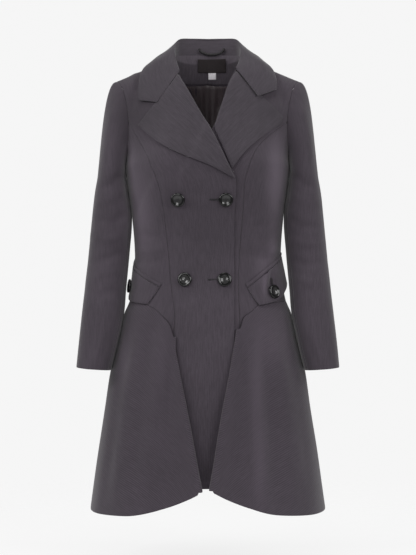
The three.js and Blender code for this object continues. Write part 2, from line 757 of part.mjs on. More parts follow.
// Points left out of a line are spread between their neighbours.
function settle(line) {
  line.forEach((point, index) => {
    if (point) return;
    let next = index;
    while (!line[next]) next += 1;
    const before = line[index - 1];
    line[index] = before.clone().lerp(line[next], 1 / (next - index + 1));
  });
  return line;
}

// A wall behind a grid of outer points, along directions worked out from the grid.
function offsetSheet(name, grid, thickness, material, side) {
  const rows = grid.length;
  const columns = grid[0].length;
  const inner = grid.map((line, row) =>
    line.map((point, column) => {
      const right = line[Math.min(column + 1, columns - 1)];
      const left = line[Math.max(column - 1, 0)];
      const below = grid[Math.min(row + 1, rows - 1)][column];
      const above = grid[Math.max(row - 1, 0)][column];
      const direction = right.clone().sub(left).cross(below.clone().sub(above)).normalize();
      return point.clone().addScaledVector(direction, side * thickness);
    }),
  );
  return wall(name, grid, inner, material);
}

const holdShare = (value) => clamp(value, 0, 1);

function skirtBack(name, side, yoke, flutes) {
  const surface = (share, down) => {
    const level = (z) => z - ARMPIT_Z;
    const topTurn = mix(QUARTER, BACK_SEAM_TURN * DEGREE, share);
    const topZ = along(yoke, "turn", topTurn / DEGREE, "z") - SEAM;
    const hemZ = along(HEM, "turn", mix(QUARTER / DEGREE, BACK_HEM_TURN, share), "z");
    const z = mix(topZ, hemZ, down);
    const seam = Math.abs(angleAt(along(PRINCESS_BACK, "level", level(z), "x"), level(z), true));
    const turn = mix(QUARTER + HALF_SEAM, seam - HALF_SEAM, share);
    return skirtSurface(side, yoke, flutes, turn, z);
  };
  const place = (row, column) => {
    const steps = [SMALL_STEP, SMALL_STEP, holdShare, holdShare];
    const direction = facing(surface, column, row, ...steps).multiplyScalar(-side);
    return { point: surface(column, row), direction };
  };
  return sheet(name, shares(SKIRT_BACK_ROWS), shares(SKIRT_BACK_COLUMNS), place, SKIRT_CLOTH, WOOL);
}

// Sleeves: a cap that grows out of the armhole, then rings down to the cuff.

function sleeveRing(side, alpha, row) {
  const middle = (row.outer + row.inner) / 2;
  const radius = (row.outer - row.inner) / 2;
  const centre = (row.front + row.back) / 2;
  const depth = (row.back - row.front) / 2;
  const bend = (value) => Math.sign(value) * Math.pow(Math.abs(value), SLEEVE_ROUNDNESS);
  return new THREE.Vector3(
    side * (middle + radius * bend(Math.cos(alpha))),
    centre - depth * bend(Math.sin(alpha)),
    row.z + row.tilt * Math.cos(alpha),
  );
}

function armholePoint(side, alpha) {
  const height = (1 + Math.cos(alpha)) / 2;
  const share = Math.asin(clamp(height, 0, 1)) / QUARTER;
  const front = Math.sin(alpha) >= 0;
  const turn = front ? QUARTER - NUDGE : QUARTER + NUDGE;
  const point = coat(side * turn, clamp(share * UPPER_LEVELS, SMALL_STEP, UPPER_LEVELS));
  point.x += side * along(ARMHOLE_GAP, "height", height, "gap");
  return point;
}

function sleevePoint(side, alpha, down) {
  const first = SLEEVE[SLEEVE.length - 1];
  if (down > 1) {
    const z = mix(first.z, SLEEVE[0].z, down - 1);
    const row = { z };
    ["outer", "inner", "front", "back", "tilt"].forEach((column) => {
      row[column] = along(SLEEVE, "z", z, column);
    });
    return sleeveRing(side, alpha, row);
  }
  const start = armholePoint(side, alpha);
  const end = sleeveRing(side, alpha, first);
  const top = (1 + Math.cos(alpha)) / 2;
  const drop = start.z - end.z;
  const leave = new THREE.Vector3(
    side * mix(CAP_LEAVE.foot.x, CAP_LEAVE.top.x, top),
    CAP_LEAVE.y * Math.sin(alpha) * top,
    mix(CAP_LEAVE.foot.z, CAP_LEAVE.top.z, top),
  );
  const arrive = new THREE.Vector3(
    side * mix(CAP_ARRIVE.foot, CAP_ARRIVE.top, top),
    CAP_ARRIVE.y * Math.sin(alpha),
    -drop,
  );
  return new THREE.Vector3(
    hermite(start.x, leave.x, end.x, arrive.x, down),
    hermite(start.y, leave.y, end.y, arrive.y, down),
    hermite(start.z, leave.z, end.z, arrive.z, down),
  );
}

function sleevePiece(name, side, from, to, columns) {
  const rows = [...shares(CAP_ROWS), ...stretch(1, 2, RING_ROWS).slice(1)];
  const angles = stretch(from * DEGREE + SLEEVE_GAP, to * DEGREE - SLEEVE_GAP, columns);
  const place = (down, alpha) => {
    const direction = facing(
      (angle, at) => sleevePoint(side, angle, at),
      alpha,
      down,
      3 * SMALL_STEP,
      SMALL_STEP,
      (value) => value,
      (value) => clamp(value, 0, 2),
    ).multiplyScalar(-side);
    return { point: sleevePoint(side, alpha, down), direction };
  };
  return sheet(name, rows, angles, place, CLOTH, WOOL);
}

// Lapels: a patch between fold, gorge, lower edge and end, laid over the front.

function lapel(name, outline, rise, rows, columns) {
  const flat = (table, share) => ({
    x: along(table, "share", share, "x"),
    z: along(table, "share", share, "z"),
  });
  const { corner, tip, fold, lower, side } = outline;
  const surface = (down, out) => {
    const near = flat(fold, down);
    const far = flat(lower, down);
    const foldStart = fold[0];
    const blend = (axis) =>
      mix(near[axis], far[axis], out) +
      (1 - down) * (mix(corner[axis], tip[axis], out) - mix(foldStart[axis], lower[0][axis], out));
    const x = blend("x");
    const z = blend("z");
    const level = levelAt(x, z);
    const theta = angleAt(x, level);
    const run = Math.hypot(x - near.x, z - near.z);
    const roll = LAPEL_ROLL.rise * Math.exp(-run / LAPEL_ROLL.width);
    const start = ease(run, LAPEL_FOLD.from, LAPEL_FOLD.to);
    const lie = mix(LAPEL_FOLD.lie, LAPEL_LIE + roll, start);
    return onCoat(theta, level, rise(theta, level) + lie).point;
  };
  const place = (down, out) => {
    const steps = [SMALL_STEP, SMALL_STEP, holdShare, holdShare];
    const direction = facing(surface, down, out, ...steps).multiplyScalar(side);
    return { point: surface(down, out), direction };
  };
  const outShares = [0, 0.04, 0.1, ...stretch(0.2, 1, columns)];
  return sheet(name, shares(rows), outShares, place, TURNED_CLOTH, WOOL);
}

// The collar: a stand up from the neck seam, a roll and a fall, from end to end.

const COLLAR_STATIONS = 26;
const STAND_SHARES = [0, 0.4, 0.8];
const FALL_SHARES = [0, 0.06, 0.14, 0.34, 0.55, 0.78, 1];
const FALL_MIDDLE = 0.55;

function collarPoint(around, down) {
  const side = around < 0 ? -1 : 1;
  const share = Math.abs(around);
  const front = side > 0 ? ease(share, COLLAR_LEFT_FROM.end, 1) : 0;
  const seam = pointAlong(COLLAR_SEAM, share);
  const fold = pointAlong(COLLAR_FOLD, share);
  const middle = pointAlong(COLLAR_MIDDLE, share);
  const edge = pointAlong(COLLAR_EDGE, share);
  const lift = ease(share, COLLAR_LEFT_FROM.edge, 1) * front;
  middle.z += COLLAR_LEFT_LIFT.middle * lift;
  edge.z += COLLAR_LEFT_LIFT.edge * lift;
  edge.y += COLLAR_LEFT_LIFT.edgeY * lift;
  fold.z += COLLAR_LEFT_LIFT.seam * lift;
  seam.z += COLLAR_LEFT_LIFT.seam * lift;
  let point;
  if (down < 0) {
    point = seam.lerp(fold, 1 + down);
    const hollow = STAND_HOLLOW.depth * Math.min(1, -down * STAND_HOLLOW.steep);
    point.addScaledVector(outward(fold, edge), -hollow);
  } else if (down < FALL_MIDDLE) point = fold.lerp(middle, down / FALL_MIDDLE);
  else point = middle.lerp(edge, (down - FALL_MIDDLE) / (1 - FALL_MIDDLE));
  if (down > 0 && down < 1) {
    const swell = Math.sin(Math.PI * Math.sqrt(down)) * COLLAR_RISE;
    point.z += swell;
  }
  point.x *= side;
  return point;
}

const outward = (from, to) => new THREE.Vector3(to.x - from.x, to.y - from.y, 0).normalize();

function collar(name) {
  const rows = stretch(-1, 1, COLLAR_STATIONS);
  const downs = [...STAND_SHARES.map((share) => share - 1), ...FALL_SHARES];
  const grid = rows.map((around) => downs.map((down) => collarPoint(around, down)));
  return offsetSheet(name, grid, TURNED_CLOTH, WOOL, -1);
}

// Pocket flaps and the welt above each.

function flapPlace(flap, rise) {
  return (down, share) => {
    const at = (table, column) => along(table, "share", share, column);
    const turn = mix(at(flap.top, "turn"), at(flap.lower, "turn"), down);
    const z = mix(at(flap.top, "z"), at(flap.lower, "z"), down);
    const theta = flap.side * turn * DEGREE;
    return onCoat(theta, z - ARMPIT_Z, rise(down, share));
  };
}

const flapRise = (flap, down, share) => FLAP_LIE + flap.lift * down * mix(FLAP_LIFT_SHARE, 1, share);

function pocket(word, flap) {
  const place = flapPlace(flap, (down, share) => flapRise(flap, down, share));
  const { rows, columns } = GRID.flap;
  const body = sheet(
    `pocket_flap_${word}`,
    shares(rows),
    shares(columns),
    place,
    TURNED_CLOTH,
    WOOL,
  );
  const welt = (down, share) => {
    const spot = flapPlace(flap, () => WELT.lie)(0, share);
    const level = spot.point.z - ARMPIT_Z + WELT.gap + down * WELT.depth;
    const turn = along(flap.top, "share", share, "turn") - WELT.lean * down;
    return onCoat(flap.side * turn * DEGREE, level, WELT.lie);
  };
  return [body, sheet(`pocket_welt_${word}`, shares(1), shares(columns), welt, WELT.cloth, WOOL)];
}

// Buttons on the fronts and flaps.

function button(name, spot) {
  const profile = BUTTON_PROFILE.map((row) => new THREE.Vector2(row.radius, row.height));
  const mesh = new THREE.Mesh(new THREE.LatheGeometry(profile, BUTTON_SIDES), GLOSS);
  mesh.name = name;
  mesh.position.copy(spot.point);
  mesh.quaternion.setFromUnitVectors(new THREE.Vector3(0, 1, 0), spot.direction);
  return mesh;
}

function frontButtons() {
  return BUTTONS.map(({ name, x, z }) => {
    const level = levelAt(x, z);
    return button(name, onCoat(angleAt(x, level), level, BUTTON_STAND));
  });
}

function flapButtons() {
  return FLAP_BUTTONS.map(({ name, flap, share, down }) => {
    const rise = flapRise(flap, down, share) + FLAP_BUTTON_STAND;
    return button(name, flapPlace(flap, () => rise)(down, share));
  });
}

// Pieces inside the back: facing, lining, label, tag and loop.

const facingRise = -(CLOTH + 1.8);
const liningRise = -(CLOTH + 1.9);

function neckFacing() {
  const half = NECK_SIDE_SHARE * FACING.widen;
  const place = (row, column) => {
    const share = column * half;
    const top = backTop(share) - FACING.topDrop;
    const foot = levelAt(column * FACING.reach, FACING.lowZ);
    const level = mix(top, Math.min(foot, top - FACING.least), row);
    const turn = Math.abs(share) * QUARTER;
    return onCoat((share < 0 ? -1 : 1) * (HALF_TURN - turn), level, facingRise);
  };
  const { rows, columns } = GRID.facing;
  return sheet("neck_facing", shares(rows), stretch(-1, 1, columns), place, FACING.cloth, WOOL);
}

function backLining() {
  const place = (row, column) => {
    const outwards = Math.min(1, Math.abs(column) / LINING.curveShare);
    const foot = levelAt(outwards * FACING.reach, FACING.lowZ);
    const level = mix(foot - LINING.under, LINING.lowZ - ARMPIT_Z, row);
    const reach = level > 0 ? LINING.reachHigh : LINING.reachLow;
    const turn = Math.abs(column) * reach * QUARTER;
    return onCoat((column < 0 ? -1 : 1) * (HALF_TURN - turn), level, liningRise);
  };
  const { rows, columns } = GRID.lining;
  return sheet("back_lining", shares(rows), stretch(-1, 1, columns), place, LINING_CLOTH, SATIN);
}

function patch(name, size, material) {
  const rise = facingRise - FACING.cloth - 2 * SEAM;
  const place = (row, column) => {
    const x = size.x + column * size.width;
    const level = levelAt(x, size.z + (0.5 - row) * size.height);
    return onCoat(angleAt(x, level, true), level, rise);
  };
  const { rows, columns } = GRID.patch;
  return sheet(name, shares(rows), stretch(-0.5, 0.5, columns), place, size.cloth, material);
}

function hangingLoop() {
  const path = new THREE.CatmullRomCurve3(
    stretch(-1, 1, LOOP_MESH.stops).map((share) => {
      const sag = Math.cos(share * QUARTER);
      return new THREE.Vector3(
        LOOP.x + Math.sin(share * QUARTER) * LOOP.half,
        LOOP.y - LOOP.turn * share - LOOP.hang * sag,
        mix(LOOP.topZ, LOOP.lowZ, sag),
      );
    }),
  );
  const ring = new THREE.Shape().absarc(0, 0, LOOP.radius, 0, 2 * Math.PI);
  const geometry = new THREE.ExtrudeGeometry(ring, {
    steps: LOOP_MESH.steps,
    curveSegments: LOOP_MESH.sides,
    extrudePath: path,
    bevelEnabled: false,
  });
  const mesh = new THREE.Mesh(geometry, BLACK_TRIM);
  mesh.name = "hanging_loop";
  return mesh;
}

const model = new THREE.Group();
model.add(
  frontPanel("front_overlap", -1, PRINCESS_RIGHT, OVERLAP_EDGE, overlapRise, GRID.overlap),
  frontPanel("front_underlap", 1, PRINCESS_LEFT, UNDERLAP_EDGE, () => 0, GRID.underlap),
  sidePanel("side_front_right", -1, PRINCESS_RIGHT, YOKE_RIGHT, false),
  sidePanel("side_front_left", 1, PRINCESS_LEFT, YOKE_LEFT, false),
  sheet("back_centre", BACK_ROWS, BACK_COLUMNS, backPlace, CLOTH, WOOL),
  sidePanel("side_back_right", -1, PRINCESS_BACK, YOKE_RIGHT, true),
  sidePanel("side_back_left", 1, PRINCESS_BACK, YOKE_LEFT, true),
  skirtFront("skirt_front_right", -1, YOKE_RIGHT, FOLD_RIGHT, PRINCESS_RIGHT, FLUTES_RIGHT),
  skirtFront("skirt_front_left", 1, YOKE_LEFT, FOLD_LEFT, PRINCESS_LEFT, FLUTES_LEFT),
  skirtBack("skirt_back_right", -1, YOKE_RIGHT, FLUTES_RIGHT),
  skirtBack("skirt_back_left", 1, YOKE_LEFT, FLUTES_LEFT),
  lapel("lapel_right", LAPEL_RIGHT, overlapRise, GRID.lapelRows.right, GRID.lapelColumns),
  lapel("lapel_left", LAPEL_LEFT, () => 0, GRID.lapelRows.left, GRID.lapelColumns),
  collar("collar"),
  neckFacing(),
  backLining(),
  patch("neck_label", LABEL, BLACK_TRIM),
  patch("size_tag", TAG, WHITE_TRIM),
  hangingLoop(),
  ...pocket("right", FLAP_RIGHT),
  ...pocket("left", FLAP_LEFT),
  ...frontButtons(),
  ...flapButtons(),
);
[
  { word: "right", side: -1 },
  { word: "left", side: 1 },
].forEach(({ word, side }) => {
  const { front, back } = SLEEVE_SEAMS;
  model.add(
    sleevePiece(`sleeve_top_${word}`, side, back, front, GRID.sleeveTop),
    sleevePiece(`sleeve_under_${word}`, side, front - TURN, back, GRID.sleeveUnder),
  );
});

export default model;
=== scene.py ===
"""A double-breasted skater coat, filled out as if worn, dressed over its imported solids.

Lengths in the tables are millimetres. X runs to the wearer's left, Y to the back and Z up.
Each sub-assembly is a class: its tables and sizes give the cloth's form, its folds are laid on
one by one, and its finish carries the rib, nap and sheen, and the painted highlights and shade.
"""

import logging
import math
from dataclasses import dataclass, field
from enum import Enum
from typing import Callable, Optional

import bmesh
import bpy
import numpy as np
from mathutils import Matrix, Vector


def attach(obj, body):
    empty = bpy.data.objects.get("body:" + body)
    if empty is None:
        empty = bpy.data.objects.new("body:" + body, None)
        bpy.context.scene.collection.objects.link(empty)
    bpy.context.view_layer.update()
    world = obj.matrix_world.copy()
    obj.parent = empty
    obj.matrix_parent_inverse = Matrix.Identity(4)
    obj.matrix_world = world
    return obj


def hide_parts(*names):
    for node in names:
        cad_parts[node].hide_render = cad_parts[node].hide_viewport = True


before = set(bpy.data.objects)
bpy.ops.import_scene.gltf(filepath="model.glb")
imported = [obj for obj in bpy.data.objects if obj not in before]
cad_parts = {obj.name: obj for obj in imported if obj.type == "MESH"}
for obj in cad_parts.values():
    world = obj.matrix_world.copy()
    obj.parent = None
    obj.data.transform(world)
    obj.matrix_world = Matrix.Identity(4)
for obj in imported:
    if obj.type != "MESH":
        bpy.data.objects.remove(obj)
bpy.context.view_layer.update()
log = logging.getLogger("skater_coat")

MM = 0.001
HALF_TURN = math.pi
QUARTER = math.pi / 2
DEGREE = math.pi / 180
NUDGE = 1e-4
# half the open turn, in radians, left between two panels, and the turn left at an armhole
SEAM_TURN = 0.0005
ARMHOLE_TURN = 0.0022
# millimetres from a seam over which folds fade in
SEAM_FADE = (-3, 15)
# share of the cloth's thickness that an edge is rounded by, and the least turn of an edge
EDGE_ROUND = 0.15
EDGE_TURN = 60
Grid = np.ndarray
Place = Callable[[Grid, Grid], Grid]


class Side(Enum):
    """A side of the wearer, valued by the sign of X."""

    RIGHT = -1
    LEFT = 1

    @property
    def word(self) -> str:
        """The side's name as the nodes spell it."""
        return self.name.lower()


class Slot(Enum):
    """Material slots of the record."""

    WOOL = "wool"
    SATIN = "satin"
    BLACK_TRIM = "black_trim"
    WHITE_TRIM = "white_trim"
    BUTTON = "button"


def sided(owner: object, table: str, side: Side) -> tuple:
    """The table that a class keeps for one side of the wearer."""
    return getattr(owner, f"{table}_{side.word}")


def mix(low: Grid, high: Grid, share: Grid) -> Grid:
    """Blends two values by a share."""
    return low + (high - low) * share


def ease(value: Grid, low: float, high: float) -> Grid:
    """A smooth step from 0 at low to 1 at high."""
    share = np.clip((value - low) / (high - low), 0, 1)
    return share * share * (3 - 2 * share)


def unit(vectors: Grid) -> Grid:
    """Vectors of length 1 in the same directions."""
    return vectors / np.maximum(np.linalg.norm(vectors, axis=-1, keepdims=True), 1e-9)


class Curve:
    """A smooth line through the rows of a table, by its first column, which climbs."""

    def __init__(self, rows: tuple[tuple[float, ...], ...]) -> None:
        """Works out the slope at each row.

        Args:
            rows: the table; its first column is the key.
        """
        table = np.array(rows, float)
        self.keys, self.values = table[:, 0], table[:, 1:]
        after = np.vstack([self.values[1:], self.values[-1:]])
        before = np.vstack([self.values[:1], self.values[:-1]])
        span = np.append(self.keys[1:], self.keys[-1]) - np.append(self.keys[:1], self.keys[:-1])
        self.slopes = (after - before) / span[:, None]

    def __call__(self, at: Grid) -> Grid:
        """The table's columns at each key, as the last axis; one column comes without it.

        Args:
            at: keys.

        Returns:
            values in the shape of the keys.
        """
        key = np.clip(np.asarray(at, float), self.keys[0], self.keys[-1])
        row = np.clip(np.searchsorted(self.keys, key, side="right") - 1, 0, len(self.keys) - 2)
        step = (self.keys[row + 1] - self.keys[row])[..., None]
        share = (key - self.keys[row])[..., None] / step
        square, cube = share**2, share**3
        found = (
            self.values[row] * (2 * cube - 3 * square + 1)
            + self.slopes[row] * step * (cube - 2 * square + share)
            + self.values[row + 1] * (3 * square - 2 * cube)
            + self.slopes[row + 1] * step * (cube - square)
        )
        return found[..., 0] if found.shape[-1] == 1 else found


@dataclass(frozen=True)
class Body:
    """The outer surface of the worn coat, by angle from the front and by level."""

    armpit_z: float = -200
    levels: float = 200
    neck: tuple[float, float] = (72, 36)
    shoulder_slope: float = 0.42
    neck_slope: float = 0.75
    roundness: float = 2 / 2.3
    chest_reach: float = 0.62
    front_power: float = 1.5
    bust: tuple[float, float, float, float, float] = (16, 92, -190, 45, 75)
    # height, half width, depth to the front and to the back
    sections: tuple[tuple[float, ...], ...] = (
        (-916, 247.4, 156, 206), (-806, 231.8, 148, 190), (-699, 215.5, 140, 168),
        (-619, 203.7, 134, 152), (-559, 189, 129, 138), (-502, 175.6, 121, 122),
        (-475, 164.2, 116, 114), (-449, 158.5, 111, 106), (-412, 155, 106, 95), (-375, 153, 102, 88),
        (-302, 158.3, 109, 96), (-241, 166.3, 119, 106), (-200, 172, 122, 110),
    )
    # share of the climb, half width, and how far the armhole lies to the front and to the back
    armhole: tuple[tuple[float, ...], ...] = (
        (0, 172, 0, 0), (0.05, 169.6, 22, 24), (0.15, 166.5, 43, 46), (0.33, 165, 50, 57),
        (0.5, 170, 44, 52), (0.7, 179, 27, 36), (0.85, 187, 11, 18), (1, 193, 0, 0),
    )

    def across(self, angle: Grid) -> Grid:
        """How far out a section reaches at an angle, as a share of its half width."""
        return np.clip(np.sin(angle), 0, None) ** self.roundness

    def deep(self, angle: Grid) -> Grid:
        """How deep a section is at an angle, as a share of its depth."""
        return np.clip(np.cos(angle), 0, None) ** self.roundness

    def shoulder_z(self, x: Grid) -> Grid:
        """Height of the shoulder seam at x."""
        out = np.abs(x) - self.neck[0]
        return self.neck[1] - out * np.where(out > 0, self.shoulder_slope, self.neck_slope)

    def bust_rise(self, x: Grid, z: Grid) -> Grid:
        """Fullness of the bust at a point of the front."""
        rise, out, height, wide, tall = self.bust
        sideways, up = (np.abs(x) - out) / wide, (z - height) / tall
        return rise * np.exp(-sideways * sideways - up * up)

    def reach(self, level: Grid) -> Grid:
        """The largest angle of a section: a quarter turn at the armpit and less above it."""
        return np.where(level > 0, QUARTER * mix(1, self.chest_reach, ease(level, 0, 40)), QUARTER)

    def at(self, theta: Grid, level: Grid) -> Grid:
        """Points of the surface.

        Args:
            theta: angles from the middle of the front, positive to the wearer's left.
            level: millimetres under the armpit below 0, and shares of the climb above it.

        Returns:
            points, with X, Y and Z on the last axis.
        """
        theta, level = np.broadcast_arrays(np.asarray(theta, float), np.asarray(level, float))
        past = np.maximum(np.abs(theta) - HALF_TURN, 0)
        side = np.where(theta < 0, -1.0, 1.0) * np.where(past > 0, -1.0, 1.0)
        whole = np.where(past > 0, HALF_TURN - past, np.abs(theta))
        back = whole > QUARTER
        turn = np.where(back, HALF_TURN - whole, whole)
        low_z = self.armpit_z + np.minimum(level, 0)
        ring = Curve(self.sections)(low_z)
        low_x = ring[..., 0] * self.across(turn)
        low_bust = np.where(back, 0, self.bust_rise(low_x, low_z))
        low_y = (np.where(back, ring[..., 2], ring[..., 1]) + low_bust) * self.deep(turn)
        share = np.clip(level, 0, self.levels) / self.levels
        climb, reach = share * QUARTER, self.reach(level)
        bend = turn / QUARTER * reach
        hole = Curve(self.armhole)(share)
        high_x = hole[..., 0] * self.across(bend) / self.across(reach)
        high_z = self.armpit_z + (self.shoulder_z(high_x) - self.armpit_z) * np.sin(climb)
        edge = np.where(back, hole[..., 2], hole[..., 1])
        fall = np.clip(np.cos(climb), 0, None) ** np.where(back, 1, self.front_power)
        middle = np.where(back, self.sections[-1][3], self.sections[-1][2]) * fall
        rim = self.deep(reach)
        inward = (self.deep(bend) - rim) / (1 - rim)
        high_bust = np.where(back, 0, self.bust_rise(high_x, high_z)) * inward
        high_y = edge + (middle - edge) * inward + high_bust
        low = level <= 0
        x, z = np.where(low, low_x, high_x), np.where(low, low_z, high_z)
        y = np.where(low, low_y, high_y)
        return np.stack([side * x, np.where(back, y, -y), z], axis=-1)

    def raised(self, theta: Grid, level: Grid, rise: Grid = 0.0) -> Grid:
        """Points of the surface moved out by a rise.

        Args:
            theta: angles.
            level: levels.
            rise: millimetres off the surface.

        Returns:
            points.
        """
        theta, level = np.broadcast_arrays(np.asarray(theta, float), np.asarray(level, float))

        def held(angle: Grid) -> Grid:
            """Keeps an angle on its own side of the armhole."""
            front = np.clip(angle, -QUARTER + NUDGE, QUARTER - NUDGE)
            left, right = np.maximum(angle, QUARTER + NUDGE), np.minimum(angle, -QUARTER - NUDGE)
            kept = np.where(np.abs(theta) <= QUARTER, front, np.where(theta > 0, left, right))
            return np.where(level <= 0, angle, kept)

        along = self.at(held(theta + 0.01), level) - self.at(held(theta - 0.01), level)
        up = self.at(theta, np.minimum(level + 1, self.levels)) - self.at(theta, level - 1)
        out = unit(np.cross(along, up))
        return self.at(theta, level) + out * np.asarray(rise)[..., None]

    def angle_at(self, x: Grid, level: Grid, back: bool = False) -> Grid:
        """The angle at which a section reaches x.

        Args:
            x: distance from the middle, with its sign.
            level: level of the section.
            back: whether the point is on the back.

        Returns:
            angles.
        """
        x, level = np.broadcast_arrays(np.asarray(x, float), np.asarray(level, float))
        low = Curve(self.sections)(self.armpit_z + np.minimum(level, 0))[..., 0]
        high = Curve(self.armhole)(np.clip(level, 0, self.levels) / self.levels)[..., 0]
        width, reach = np.where(level <= 0, low, high), self.reach(level)
        share = np.minimum(1, np.abs(x) / width) * self.across(reach)
        turn = np.arcsin(np.minimum(1, share ** (1 / self.roundness))) / reach * QUARTER
        return np.where(x < 0, -1, 1) * (HALF_TURN - turn if back else turn)

    def level_at(self, x: Grid, z: Grid) -> Grid:
        """The level of a point seen from the front or back."""
        x, z = np.broadcast_arrays(np.asarray(x, float), np.asarray(z, float))
        height = (z - self.armpit_z) / (self.shoulder_z(x) - self.armpit_z)
        high = self.levels * np.arcsin(np.clip(height, 0, 1)) / QUARTER
        return np.where(z <= self.armpit_z, z - self.armpit_z, high)


BODY = Body()


class Spot:
    """A socket of a shader, with arithmetic that adds Math nodes."""

    def __init__(self, tree: bpy.types.NodeTree, socket: bpy.types.NodeSocket) -> None:
        """Keeps the tree and the socket."""
        self.tree, self.socket = tree, socket

    def _math(self, operation: str, first: object, second: object = None) -> "Spot":
        """Adds a Math node."""
        values = [first] if second is None else [first, second]
        return node(self.tree, "ShaderNodeMath", {"operation": operation}, dict(enumerate(values)))

    def __add__(self, other: object) -> "Spot":
        """Sum."""
        return self._math("ADD", self, other)

    def __sub__(self, other: object) -> "Spot":
        """Difference."""
        return self._math("SUBTRACT", self, other)

    def __mul__(self, other: object) -> "Spot":
        """Product."""
        return self._math("MULTIPLY", self, other)

    def sine(self) -> "Spot":
        """Sine of an angle."""
        return self._math("SINE", self)

    def step(self, low: float, high: float) -> "Spot":
        """A smooth step from 0 at low to 1 at high, or the reverse where high is less."""
        ends = {"From Min": low, "From Max": high, "Value": self}
        if high < low:
            ends = {"From Min": high, "From Max": low, "To Min": 1.0, "To Max": 0.0, "Value": self}
        return node(self.tree, "ShaderNodeMapRange", {"interpolation_type": "SMOOTHSTEP"}, ends)


def node(tree: bpy.types.NodeTree, kind: str, settings: dict, inputs: dict, output: object = 0) -> Spot:
    """Makes a shader node.

    Args:
        tree: tree that gets the node.
        kind: the node's type.
        settings: properties, set before any socket.
        inputs: values, colours or spots by socket name or number.
        output: name or number of the socket to return.

    Returns:
        the output socket.
    """
    made = tree.nodes.new(kind)
    for name, value in settings.items():
        setattr(made, name, value)
    for name, value in inputs.items():
        if isinstance(value, Spot):
            tree.links.new(value.socket, made.inputs[name])
        else:
            made.inputs[name].default_value = value
    return Spot(tree, made.outputs[output])


def linear(red: int, green: int, blue: int) -> tuple[float, float, float, float]:
    """A display colour as scene-linear values."""
    shares = [value / 255 for value in (red, green, blue)]
    low = [share / 12.92 if share <= 0.04045 else ((share + 0.055) / 1.055) ** 2.4 for share in shares]
    return (low[0], low[1], low[2], 1.0)


def toned(colour: tuple[int, int, int], factor: float) -> list[float]:
    """A display colour as scene-linear values, darkened or lightened."""
    return [share * factor for share in linear(*colour)[:3]] + [1.0]


def cloth_map(tree: bpy.types.NodeTree) -> Spot:
    """The cloth's own coordinates."""
    return node(tree, "ShaderNodeUVMap", {"uv_map": "cloth"}, {})


def object_map(tree: bpy.types.NodeTree) -> Spot:
    """Coordinates in the piece's space."""
    return node(tree, "ShaderNodeTexCoord", {}, {}, "Object")


def axes(tree: bpy.types.NodeTree, vector: Spot) -> tuple[Spot, Spot]:
    """The first two coordinates of a vector."""
    parts = tree.nodes.new("ShaderNodeSeparateXYZ")
    tree.links.new(vector.socket, parts.inputs[0])
    return Spot(tree, parts.outputs[0]), Spot(tree, parts.outputs[1])


def attribute(tree: bpy.types.NodeTree, name: str) -> Spot:
    """A value that the mesh's vertices carry."""
    return node(tree, "ShaderNodeAttribute", {"attribute_name": name}, {}, "Fac")


def noise(tree: bpy.types.NodeTree, vector: Spot, scale: float, detail: float) -> Spot:
    """Noise over a vector."""
    return node(tree, "ShaderNodeTexNoise", {}, {"Vector": vector, "Scale": scale, "Detail": detail})


def drawn_out(tree: bpy.types.NodeTree, vector: Spot, scale: tuple[float, float, float]) -> Spot:
    """A vector drawn out along the axes whose scale is under 1."""
    return node(tree, "ShaderNodeMapping", {}, {"Vector": vector, "Scale": scale})


def bumped(tree: bpy.types.NodeTree, height: Spot, strength: float, distance: float) -> Spot:
    """A normal from a height."""
    values = {"Height": height, "Strength": strength, "Distance": distance}
    return node(tree, "ShaderNodeBump", {}, values)


def shade_mix(tree: bpy.types.NodeTree, share: object, first: object, second: object) -> Spot:
    """Mixes two colours by a share."""
    settings = {"data_type": "RGBA"}
    return node(tree, "ShaderNodeMix", settings, {0: share, 6: first, 7: second}, 2)


def finished(material: bpy.types.Material, inputs: dict) -> bpy.types.Material:
    """Adds the shader and output to a material.

    Args:
        material: material with an empty tree.
        inputs: values or spots of the Principled shader.

    Returns:
        the material.
    """
    shader = node(material.node_tree, "ShaderNodeBsdfPrincipled", {}, inputs)
    node_out = material.node_tree.nodes.new("ShaderNodeOutputMaterial")
    material.node_tree.links.new(shader.socket, node_out.inputs["Surface"])
    return material


def blank(name: str) -> bpy.types.Material:
    """A material with an empty tree."""
    material = bpy.data.materials.new(name)
    material.use_nodes = True
    material.node_tree.nodes.clear()
    return material


